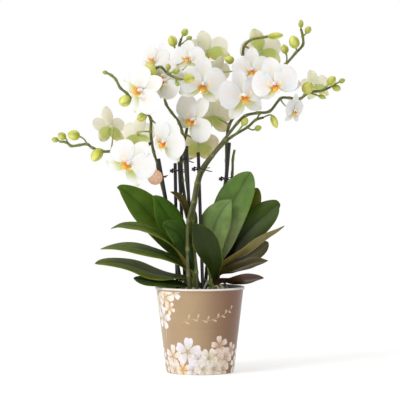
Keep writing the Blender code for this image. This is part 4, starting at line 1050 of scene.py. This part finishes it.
def leaf_skin(name, phase):
    """A strap blade. Along the midrib the section is a closed lens, thickest at the rib; each half
    rises from the rib by the fold, rolls down at its edge and waves along its length. The upper side
    has a sharp groove along the rib and the under side a keel."""
    midrib, width, face_base, face_tip = LEAVES[name]
    upper, tip, lower, margin, fold, roll, wave, lean, point = LEAF_LOOKS[name]
    points = lifted(midrib)
    if not name.startswith("leaf_young"):
        crown = CROWNS["crown_left" if "left" in name else "crown_right"][0]
        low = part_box("crown_left")[0].z
        axis = np.array([crown[0] * MM, crown[1] * MM, max(low + 4 * MM, points[0][2] - 14 * MM)])
        sheath = axis + (points[0] - axis) * (0.3, 0.3, 0)
        points = np.vstack([sheath, points])
    line = smooth_line(points, 14)
    run = run_length(line)
    extra = run[14] if len(points) > len(midrib) else 0
    s = 1 - (1 - np.linspace(0, 1, 72)) ** 1.5
    place = s * run[-1]
    t = (place - extra) / (run[-1] - extra)
    spot = read_line(line, place)
    along = unit(np.gradient(spot, axis=0))
    face = blend(np.array(face_base, float), np.array(face_tip, float), np.clip(t, 0, 1))
    side = unit(np.cross(along, face))
    up = np.cross(side, along)
    half = 0.5 * width * MM * blade_share(t, point)
    a = ring_angles(44)
    v = np.cos(a)[None]
    top = (np.sin(a) > 0)[None]
    open_up = np.radians(fold + (52 - fold) * (1 - step_up(t, -0.25, 0.3)))[:, None]
    t2 = t[:, None]
    lens = np.sign(np.sin(a)) * np.abs(np.sin(a)) ** 0.6
    thick = 0.55 + 0.55 * hump(v, 0, 0.35) * (1 - 0.7 * t2)
    ripple = wave * v ** 2 * np.sin(math.tau * 1.3 * t2 + phase + (v > 0) * 1.9)
    lift = (np.sqrt(v ** 2 + 0.004) - 0.06) * np.sin(open_up) - roll * v ** 4 + ripple
    spread = v * np.cos(open_up) * (1 + lean * v)
    groove = -0.7 * hump(v, 0, 0.05) * top + -1.0 * hump(v, 0, 0.1) * ~top * (1 - 0.8 * t2)
    rings = (spot[:, None] + side[:, None] * (half[:, None] * spread)[..., None]
             + up[:, None] * (half[:, None] * lift + (lens * thick + groove) * 0.5 * MM)[..., None])
    # The upper colour near the base is a painted highlight for leaf_right_1 and leaf_right_2, and a painted
    # shadow for leaf_right_4
    body = blend(linear(upper), linear(tip), step_up(t2, 0.1, 0.75) + 0 * v)
    # Painted shade: a dark line down the rib's groove, and a lighter darkening on the fold either side of the
    # rib
    body = blend(body, body * 0.6, hump(v, 0, 0.045) * 0.9 + 0 * t2)
    body = blend(body, body * 0.86, hump(np.abs(v), 0.12, 0.09) * 0.6 + 0 * t2)
    # For leaf_right_3 the lower colour is partly painted shade
    body = blend(body, linear(lower) * (1 + 0 * body), np.where(top, 0.0, 0.85) + 0 * t2)
    tint = blend(body, linear(margin) * (1 + 0 * body), 0.75 * step_up(np.abs(v), 0.93, 0.995) + 0 * t2)
    grain = np.stack([half[:, None] / MM * v, place[:, None] / MM + 0 * v, np.clip(t2, 0, 1) + 0 * v], -1)
    return rings, tint, grain


def make_leaves(finish):
    """One blade for each leaf, each with waves that start at another place."""
    for i, name in enumerate(LEAVES):
        make_piece(name + "_blade", [leaf_skin(name, 1.7 * i)], finish, [name])


# ---- Spikes and buds -------------------------------------------------------

# Colour of each spike's main stem low down, half way and at its tip
SPIKE_TINTS = {
    "spike_left": ("35371C", "565A2C", "74823A"),
    "spike_mid": ("34361D", "4C4F28", "76823A"),
    "spike_top": ("33341D", "454823", "5F6A30"),
    "spike_right": ("474A26", "50552A", "66702F"),
    "spike_long": ("585A33", "55582F", "5A5E2E"),
    "spike_short": ("4C5029", "50532B", "59602D"),
}


def branch_points(spike, branch):
    """A branch's points; a side branch's first entry is a place on the main stem."""
    main = SPIKES[spike]["main"]
    return [main[p] if isinstance(p, int) else p for p in SPIKES[spike][branch]]


def stem_skins(name, branch):
    """A stem with a knuckle at each inner point, and a dry bract wrapped on each, to one side and the
    other in turn: the bract is a small cone along the stem that leans outwards."""
    points = lifted(branch_points(name, branch))
    line = smooth_line(points, 8)
    run = run_length(line)
    knots = run[::8]
    share = run / run[-1]
    start = STEM_RADIUS if branch == "main" else 0.8 * STEM_RADIUS
    radius = start + (STEM_TIP_RADIUS - start) * share
    swell = hump(run[:, None], knots[None, 1:-1], 1.6 * MM).sum(1) if len(knots) > 2 else 0 * run
    low, middle, tip = (linear(code) for code in SPIKE_TINTS[name])
    tint = blend(blend(low, middle, step_up(share, 0.05, 0.5)), tip, step_up(share, 0.6, 1.0))
    tint = blend(tint, linear("8E9A48"), 0.35 * np.clip(swell, 0, 1))
    skins = [tube_skin(line, radius * (1 + 0.22 * np.clip(swell, 0, 1)), tint, 14)]
    for i, knot in enumerate(knots[1:-1]):
        at = np.linspace(knot - 1.2 * MM, knot + 3.6 * MM, 7)
        core = read_line(line, at)
        along = unit(core[-1] - core[0])
        outward = unit(np.cross(along, (0, (-1) ** i, 0)))
        t = np.linspace(0, 1, 7)
        girth = np.interp(knot, run, radius) * (1.28 - 0.75 * t ** 1.5)
        core = core + np.outer(0.9 * MM * t ** 1.2, outward)
        skins.append(tube_skin(core, girth, blend(linear("7A7B45"), linear("A39A68"), t), 10))
    return skins


def flower_axes(turn, tilt, roll):
    """Right, up and facing directions of a flower as columns: rolled, stood upright facing -Y,
    tilted up and turned."""
    turn, tilt, roll = (math.radians(angle) for angle in (turn, tilt, roll))
    about_z = turned_axes(turn, 0, 0)
    about_x = turned_axes(0, 0, -tilt)
    upright = np.array([[1, 0, 0], [0, 0, -1], [0, 1, 0]])
    return about_z @ about_x @ upright @ turned_axes(-roll, 0, 0)


# The CAD plate's five lobes: directions and half widths in degrees, lengths as shares of the petal
# spread, and how far in the outline comes between them
PLATE_DIRECTIONS = np.array([90, 14, 166, -47, 227])
PLATE_HALF_WIDTHS = np.array([22, 33, 33, 22, 22])
PLATE_LENGTHS = np.array([1.18, 1, 1, 1.08, 1.08])
PLATE_WAIST = 0.42
PLATE_BULGE = 0.58  # the rest of a lobe, out past the waist
PLATE_POINTS = 30
PLATE_HALF_THICKNESS = 0.7 * MM


def tepal_reach(angle):
    """Outline of the CAD plate: the farthest of five rounded lobes at this angle."""
    off = np.abs((angle[:, None] - PLATE_DIRECTIONS + 180) % 360 - 180) / PLATE_HALF_WIDTHS
    rounded = (1 - np.minimum(off, 1) ** 3) ** 0.6
    lobe = PLATE_LENGTHS * (PLATE_WAIST + PLATE_BULGE * rounded)
    return np.maximum(np.where(off < 1, lobe, 0).max(1), PLATE_WAIST)


def flower_place(name):
    """Where a flower's centre is: the middle of its CAD box less the middle of its turned plate's."""
    turn, tilt, roll, size = FLOWERS[name][4:]
    angle = (np.arange(PLATE_POINTS) + 0.5) * (360 / PLATE_POINTS)
    reach = PETAL_SPREAD * size * tepal_reach(angle)
    flat = np.stack([reach * np.cos(np.radians(angle)), reach * np.sin(np.radians(angle)), 0 * angle], -1)
    plate = np.vstack([flat + (0, 0, PLATE_HALF_THICKNESS), flat - (0, 0, PLATE_HALF_THICKNESS),
                       [(0, -0.1 * PETAL_SPREAD * size, PLATE_HALF_THICKNESS + LIP_REACH * size)]])
    axes = flower_axes(turn, tilt, roll)
    turned = plate @ axes.T
    low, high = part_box(name)
    return (np.array(low) + np.array(high)) / 2 - (turned.min(0) + turned.max(0)) / 2, axes


def pedicel_skin(name):
    """A flower's stalk: a quadratic bend from the stem, swelling to the ovary behind the flower,
    green going pale."""
    spike, branch, at = FLOWERS[name][:3]
    root = lifted(branch_points(spike, branch))[at]
    centre, axes = flower_place(name)
    end = centre - axes[:, 2] * 0.2 * MM
    line = bend(root, end - axes[:, 2] * PEDICEL_BEND, end, 22)
    share = np.linspace(0, 1, 22)
    tint = blend(blend(linear("6F7A38"), linear("A9B566"), step_up(share, 0, 0.45)), linear("DDE0B8"),
                 step_up(share, 0.5, 1))
    radius = PEDICEL_RADIUS * (0.9 + 0.55 * step_up(share, 0.35, 0.95) + 0.4 * hump(share, 0, 0.06))
    return tube_skin(line, radius, tint, 10)


def bud_skins(root, centre, heading, length, width):
    """A bud on its stalk: an ellipsoid, a little fuller below the middle and drawn in at the tip, with
    three shallow seams that turn a little on the way up."""
    way = unit(np.array(heading, float))
    heart = lifted(centre)
    length, width = length * MM, width * MM
    t = 0.5 - 0.5 * np.cos(np.linspace(0.06, math.pi - 0.06, 24))
    line = heart + np.outer(t - 0.5, way) * length
    rings, _, grain = tube_skin(line, np.full(24, 1.0), (0, 0, 0), 30)
    radius = width * np.sqrt(t * (1 - t)) * (1.06 - 0.16 * t - 0.14 * step_up(t, 0.7, 1))
    a = ring_angles(30)
    seam = np.abs(np.cos(1.5 * a[None] + 0.5 * t[:, None])) ** 10
    swing = (rings - line[:, None]) * (radius[:, None] * (1 - 0.07 * seam))[..., None]
    young = np.clip((13 - length / MM) / 9, 0, 1)
    body = blend(linear("B9BC40"), linear("DCDC74"), step_up(t, 0.1, 0.7))
    body = blend(body, linear("6F8030"), young * 0.75)
    body = blend(body, linear("E8E59A"), 0.4 * step_up(t, 0.8, 1) * (1 - young))
    tint = blend(body[:, None] + 0 * swing, linear("7F9333") + 0 * swing, 0.55 * seam)
    skins = [(line[:, None] + swing, tint, grain)]
    foot = heart - way * 0.42 * length
    gap = np.linalg.norm(foot - root)
    if gap > 0.3 * MM:
        middle = foot - way * 0.5 * gap
        share = np.linspace(0, 1, 14)
        radius = PEDICEL_RADIUS * (0.85 + 0.35 * share ** 2)
        skins.append(tube_skin(bend(root, middle, foot, 14), radius,
                               blend(linear("5F6A33"), linear("8F9F46"), share), 10))
    return skins


def make_spikes(stem_finish, bud_finish):
    """Each spike's stems with its flowers' stalks as one piece, and its buds as another."""
    for name in SPIKES:
        stems = [skin for branch in SPIKES[name] for skin in stem_skins(name, branch)]
        stems += [pedicel_skin(flower) for flower in FLOWERS if FLOWERS[flower][0] == name]
        make_piece(name + "_stem", stems, stem_finish, [name])
        buds = []
        for spike, branch, at, centre, heading, length, width in BUDS:
            if spike == name:
                root = lifted(branch_points(spike, branch))[at]
                buds += bud_skins(root, centre, heading, length, width)
        make_piece(name + "_buds", buds, bud_finish)


# ---- Flowers ---------------------------------------------------------------

WHITE = linear("F4F0F1")
# Painted shade: the warm beige laid down the middle of each tepal towards its claw, near the column and lip
PETAL_BASE_SHADE = linear("EBDFDC")
GREEN = linear("BECB6A")
BACK = linear("F6EFD6")


def tepal(direction, length, half_width, broadest, lean, recurve, cup, ruffle, green, phase, front,
          point=0.0):
    """A petal or sepal, in mm. Along it the half width rises from a narrow claw and ends round, or in a
    corner as point goes to 1; the section is a thin closed lens. The tip bends back with the square of
    the length, the sides cup with the square of the breadth, and the edge ruffles."""
    s = 1 - (1 - np.linspace(0, 1, 30)) ** 1.35
    a = ring_angles(36)
    v = np.cos(a)[None]
    s2 = s[:, None]
    rise = 1 - (1 - np.clip(s / broadest, 0, 1)) ** 2.1
    past = np.clip((s - broadest) / (1 - broadest), 0, 1)
    fall = np.clip(1 - past ** (2.3 - 0.5 * point), 0.0006, 1) ** (0.5 + 0.35 * point)
    half = half_width * (0.2 + 0.8 * rise) * fall
    wave = np.sin(2.4 * math.pi * s2 + phase + 2.1 * (v > 0))
    swell = ruffle * np.abs(v) ** 3 * wave * step_up(s2, 0.15, 0.6)
    lens = 0.32 * np.sign(np.sin(a)) * np.abs(np.sin(a)) ** 0.5 * (1.25 - 0.6 * s2)
    crease = -0.35 * hump(v, 0, 0.09) * (1 - s2)
    radial = 1.5 + length * s2 - 0.10 * half[:, None] * v ** 2
    out = (front + length * (math.tan(math.radians(lean)) * s2 - recurve * s2 ** 2)
           + cup * half[:, None] * v ** 2 + half_width * swell + lens + crease)
    across = half[:, None] * v * (1 - 0.12 * abs(cup) * v ** 2)
    cosine, sine = math.cos(math.radians(direction)), math.sin(math.radians(direction))
    rings = np.stack([radial * cosine - across * sine, radial * sine + across * cosine, out], -1)
    face = (np.sin(a) > 0)[None]
    # Painted shade: a warm beige towards the claw, down the tepal's middle
    tint = blend(WHITE, PETAL_BASE_SHADE, 0.5 * hump(v, 0, 0.5) * (1 - s2))
    tint = blend(tint, BACK + 0 * tint, np.where(face, 0, 0.6) + 0 * s2)
    base = step_up(0.8 - s2, 0.0, 0.5) * (0.45 + 0.55 * hump(v, 0, 0.7))
    end = step_up(s2, 0.86, 1.0)
    lime = green * (base + 0.5 * end + 0.25 * hump(v, 0, 0.18)) + np.where(face, 0, 0.3) * green
    tint = blend(tint, GREEN + 0 * tint, np.clip(lime, 0, 0.95))
    grain = np.stack([half[:, None] * v, radial, s2 + 0 * v], -1)
    return rings * MM, tint, grain


def lip_lobe(points, widths, tints, hollow, share_low=0.0):
    """A lobe of the lip: a thin blade carried along the points, with the given half widths, whose
    section is hollowed towards the flower."""
    line = smooth_line(points, 7)
    n = len(line)
    s = np.linspace(0, 1, n)
    half = np.interp(s, np.linspace(0, 1, len(widths)), widths)
    along = unit(np.gradient(line, axis=0))
    side = unit(np.cross(along, (0, 0, 1)) + 1e-6)
    up = np.cross(side, along)
    a = ring_angles(20)
    v = np.cos(a)[None]
    lens = 0.3 * np.sign(np.sin(a)) * np.abs(np.sin(a)) ** 0.5
    rings = (line[:, None] + side[:, None] * (half[:, None] * v)[..., None]
             + up[:, None] * (hollow * half[:, None] * v ** 2 + lens)[..., None])
    first, last = (linear(code) for code in tints)
    tint = blend(first, last, step_up(s, 0.15, 0.85)[:, None] + 0 * v)
    grain = np.stack([half[:, None] * v, 0 * v + s[:, None] * 10, 0 * v + share_low + s[:, None]], -1)
    return rings * MM, tint, grain


def lip_skins():
    """The lip, in mm: a pointed middle lobe forward and down, two side lobes that stand up and curl
    round the column, a callus of two warm knobs, and two tendrils curling back from the tip."""
    skins = [lip_lobe([(0, -2.0, 1.5), (0, -4.0, 4.2), (0, -6.4, 5.8), (0, -8.6, 6.2), (0, -9.8, 5.6)],
                      [1.3, 2.0, 2.9, 3.2, 2.2, 0.7], ("F29F12", "FBC54A"), -0.35)]
    for side in (-1, 1):
        skins.append(lip_lobe([(side * 1.2, -2.8, 2.0), (side * 4.4, -4.6, 3.8), (side * 6.6, -3.0, 6.0),
                               (side * 7.0, 0.4, 7.4), (side * 5.6, 3.2, 7.6)],
                              [0.8, 1.3, 1.3, 1.0, 0.5], ("F2A930", "FBEFC4"), 0.3, 0.1))
        curl = smooth_line([(side * 0.4, -9.6, 5.6), (side * 2.0, -11.2, 6.2), (side * 4.6, -10.4, 7.2),
                            (side * 5.8, -7.6, 8.0), (side * 6.0, -4.4, 8.4)], 6) * MM
        share = np.linspace(0, 1, len(curl))
        tint = blend(linear("F8CE5A"), linear("FBE9B8"), share)
        skins.append(tube_skin(curl, (0.36 - 0.2 * share) * MM, tint, 8))
        knob = np.array([(side * 0.9, -3.6, 3.0), (side * 1.0, -4.1, 3.8), (side * 1.1, -4.5, 4.6),
                         (side * 1.1, -4.8, 5.2)]) * MM
        girth = np.array([0.6, 0.9, 1.05, 1.1, 1.1, 1.05, 0.95, 0.8, 0.55, 0.3]) * MM
        skins.append(tube_skin(smooth_line(knob, 3), girth, linear("EE8A12"), 12))
    return skins


def column_skin():
    """The column, in mm: a short stout finger that leans down over the lip, with a rounded cap."""
    line = smooth_line([(0, 0.4, -0.2), (0, 0.5, 2.0), (0, 0.0, 4.2), (0, -1.0, 5.9), (0, -2.0, 6.7)], 5) * MM
    share = np.linspace(0, 1, len(line))
    cap = np.sqrt(np.clip(1 - (np.clip(share - 0.55, 0, 1) / 0.46) ** 2, 0.02, 1))
    radius = 2.1 * cap * (1 - 0.12 * share) * MM
    return tube_skin(line, radius, blend(linear("F3F0E6"), linear("F0D9E2"), step_up(share, 0.5, 1)), 16)


# The usual tepals (directions and leans in degrees, lengths in mm), and what differs on some flowers.
TEPAL_NAMES = ("dorsal", "petal_right", "petal_left", "sepal_right", "sepal_left")
PETAL = dict(length=25.5, half_width=15.2, broadest=0.60, lean=6, recurve=0.10, cup=-0.05, ruffle=0.06,
             green=0.05, front=0.5)
SEPAL = dict(length=27, half_width=9.4, broadest=0.5, lean=2, recurve=0.08, cup=0.12, ruffle=0.05,
             green=0.8, front=-0.8, point=0.6)
USUAL = {
    "dorsal": dict(direction=90, length=29, half_width=9.6, broadest=0.55, lean=4, recurve=0.05, cup=0.12,
                   ruffle=0.04, green=0.2, front=-0.8, point=0.35),
    "petal_right": dict(PETAL, direction=14),
    "petal_left": dict(PETAL, direction=166),
    "sepal_right": dict(SEPAL, direction=-47),
    "sepal_left": dict(SEPAL, direction=227),
}
CHANGES = {
    "flower_01": {"petal_left": dict(half_width=13), "dorsal": dict(length=24)},
    "flower_02": {"petal_right": dict(length=29), "sepal_left": dict(green=1.1)},
    "flower_04": {"sepal_left": dict(direction=205, green=1.3), "sepal_right": dict(green=1.2, length=24)},
    "flower_05": {"petal_left": dict(length=29, half_width=16), "sepal_left": dict(green=1.1, length=29)},
    "flower_06": {"dorsal": dict(length=29, half_width=11), "petal_left": dict(length=24, half_width=15),
                  "petal_right": dict(half_width=16),
                  "sepal_left": dict(direction=212, length=20, recurve=0.4, green=1.2),
                  "sepal_right": dict(direction=-12, length=28, recurve=0.15, green=1.1)},
    "flower_08": {"dorsal": dict(length=26), "petal_left": dict(length=28, half_width=12),
                  "sepal_left": dict(direction=200, length=30, green=1.5), "sepal_right": dict(green=1.3)},
    "flower_10": {"sepal_left": dict(green=1.6, half_width=11), "sepal_right": dict(green=1.6, half_width=11),
                  "dorsal": dict(green=1.0)},
    "flower_11": {"petal_left": dict(length=30), "petal_right": dict(direction=-16, length=29),
                  "sepal_right": dict(green=1.1)},
    "flower_12": {"petal_left": dict(direction=140, length=23, half_width=12),
                  "petal_right": dict(length=27, half_width=16), "sepal_left": dict(length=15),
                  "sepal_right": dict(direction=-25, length=28, green=1.1)},
    "flower_13": {"petal_right": dict(direction=32, length=29), "sepal_left": dict(green=1.2),
                  "sepal_right": dict(direction=-30, green=1.2)},
    "flower_14": {"petal_left": dict(half_width=10, green=0.2), "petal_right": dict(half_width=10, green=0.2),
                  "sepal_left": dict(green=1.6), "sepal_right": dict(green=1.6)},
    "flower_15": {"sepal_left": dict(green=1.2), "sepal_right": dict(green=1.2)},
    "flower_16": {"petal_left": dict(half_width=11, green=0.5), "petal_right": dict(half_width=11, green=0.5),
                  "sepal_left": dict(green=1.2, half_width=10),
                  "sepal_right": dict(green=1.2, half_width=10)},
    "flower_17": {"petal_left": dict(half_width=12), "petal_right": dict(half_width=12)},
    "flower_18": {"petal_right": dict(half_width=11), "petal_left": dict(half_width=11),
                  "sepal_left": dict(green=1.4), "dorsal": dict(length=26)},
}


def make_flowers(petal_finish, lip_finish):
    """Five tepals, the lip and the column of each flower, scaled by its size and set on its axes."""
    for i, name in enumerate(FLOWERS):
        centre, axes = flower_place(name)
        axes = axes * FLOWERS[name][7]
        changes = CHANGES.get(name, {})
        skins = []
        for j, part in enumerate(TEPAL_NAMES):
            values = {**USUAL[part], **changes.get(part, {})}
            skins.append(placed(tepal(phase=2.3 * i + 1.3 * j, **values), centre, axes))
        make_piece(name + "_tepals", skins, petal_finish, [name])
        lip = [placed(skin, centre, axes) for skin in lip_skins() + [column_skin()]]
        make_piece(name + "_lip", lip, lip_finish)


# ---- Studio ----------------------------------------------------------------

FLOOR_REACH = 9.0
SURROUND_LIGHT = 0.44  # strength of the surround as a light; the view sees it as plain white


def make_studio():
    """Wide white floor, one large soft key from the upper left, a weaker fill, a top light and a white
    surround."""
    corners = [(-FLOOR_REACH, -FLOOR_REACH, 0), (FLOOR_REACH, -FLOOR_REACH, 0),
               (FLOOR_REACH, FLOOR_REACH, 0), (-FLOOR_REACH, FLOOR_REACH, 0)]
    mesh = bpy.data.meshes.new("studio_floor")
    mesh.from_pydata(corners, [], [(0, 1, 2, 3)])
    mesh.materials.append(studio_floor())
    floor = bpy.data.objects.new("studio_floor", mesh)
    bpy.context.scene.collection.objects.link(floor)
    for name, place, size, power, colour in (
            ("key", (-1.3, -1.2, 1.3), 0.9, 20.5, (1.0, 0.985, 0.965)),
            ("fill", (1.5, -1.3, 0.7), 1.4, 2.0, (0.97, 0.985, 1.0)),
            ("top", (0.1, 0.2, 1.6), 1.2, 6.0, (1.0, 1.0, 1.0))):
        lamp = bpy.data.lights.new(name, "AREA")
        lamp.shape = "SQUARE"
        lamp.size = size
        lamp.energy = power
        lamp.color = colour
        holder = bpy.data.objects.new(name, lamp)
        holder.location = place
        holder.rotation_euler = aim(place, (0, 0, 0.2))
        bpy.context.scene.collection.objects.link(holder)
    world = bpy.data.worlds.new("surround")
    world.use_nodes = True
    tree = world.node_tree
    surround = tree.nodes["Background"]
    surround.inputs["Color"].default_value = (1, 1, 1, 1)
    seen = add_node(tree, "LightPath").outputs["Is Camera Ray"]
    tree.links.new(remap(tree, seen, 0, 1, SURROUND_LIGHT, 1.0), surround.inputs["Strength"])
    bpy.context.scene.world = world
    bpy.context.scene.view_settings.view_transform = "Standard"


def aim(place, target):
    """Turn angles that point -Z from one place to another, kept level."""
    x, y, z = np.array(target) - np.array(place)
    return math.atan2(math.hypot(x, y), -z), 0, math.atan2(-x, y)


SENSOR_MM = 36
CAMERA_DISTANCE = 2.0
CAMERA_HEIGHT = 0.230
AIM_HEIGHT = 0.1926
VIEW_WIDTH = 0.448  # how much of the plane through the pot's axis the view takes in


def make_camera():
    """The view from 2 m in front of the pot, turned down a little, with everything in focus."""
    camera = bpy.data.objects.new("camera", bpy.data.cameras.new("camera"))
    camera.data.sensor_width = SENSOR_MM
    camera.data.lens = SENSOR_MM * CAMERA_DISTANCE / VIEW_WIDTH
    camera.data.clip_end = 20
    place = (0, -CAMERA_DISTANCE, CAMERA_HEIGHT)
    camera.location = place
    camera.rotation_euler = aim(place, (0, 0, AIM_HEIGHT))
    bpy.context.scene.collection.objects.link(camera)
    bpy.context.scene.camera = camera


BARK_CHIPS = 230


def main():
    """Everything in order; the grow pot keeps its CAD mesh and only gets a finish."""
    make_camera()
    make_studio()
    make_pot(pot_glaze())
    make_print(transfer_print())
    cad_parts["grow_pot"].material_slots[0].material = grow_pot_plastic()
    make_bark_chips(fir_bark(), BARK_CHIPS)
    make_crowns(root_velamen(), spike_skin())
    clip_plastic = moulded_plastic("clip_plastic", 0.35, 1.0, 0.05)
    make_stakes(moulded_plastic("stake_plastic", 0.42, 0.8, 0.3))
    make_clips(clip_plastic)
    make_tag(moulded_plastic("tag_plastic", 0.45, 1.2, 0.0), clip_plastic)
    make_leaves(leaf_cuticle())
    make_spikes(spike_skin(), bud_skin())
    make_flowers(petal_tissue(), lip_tissue())


main()
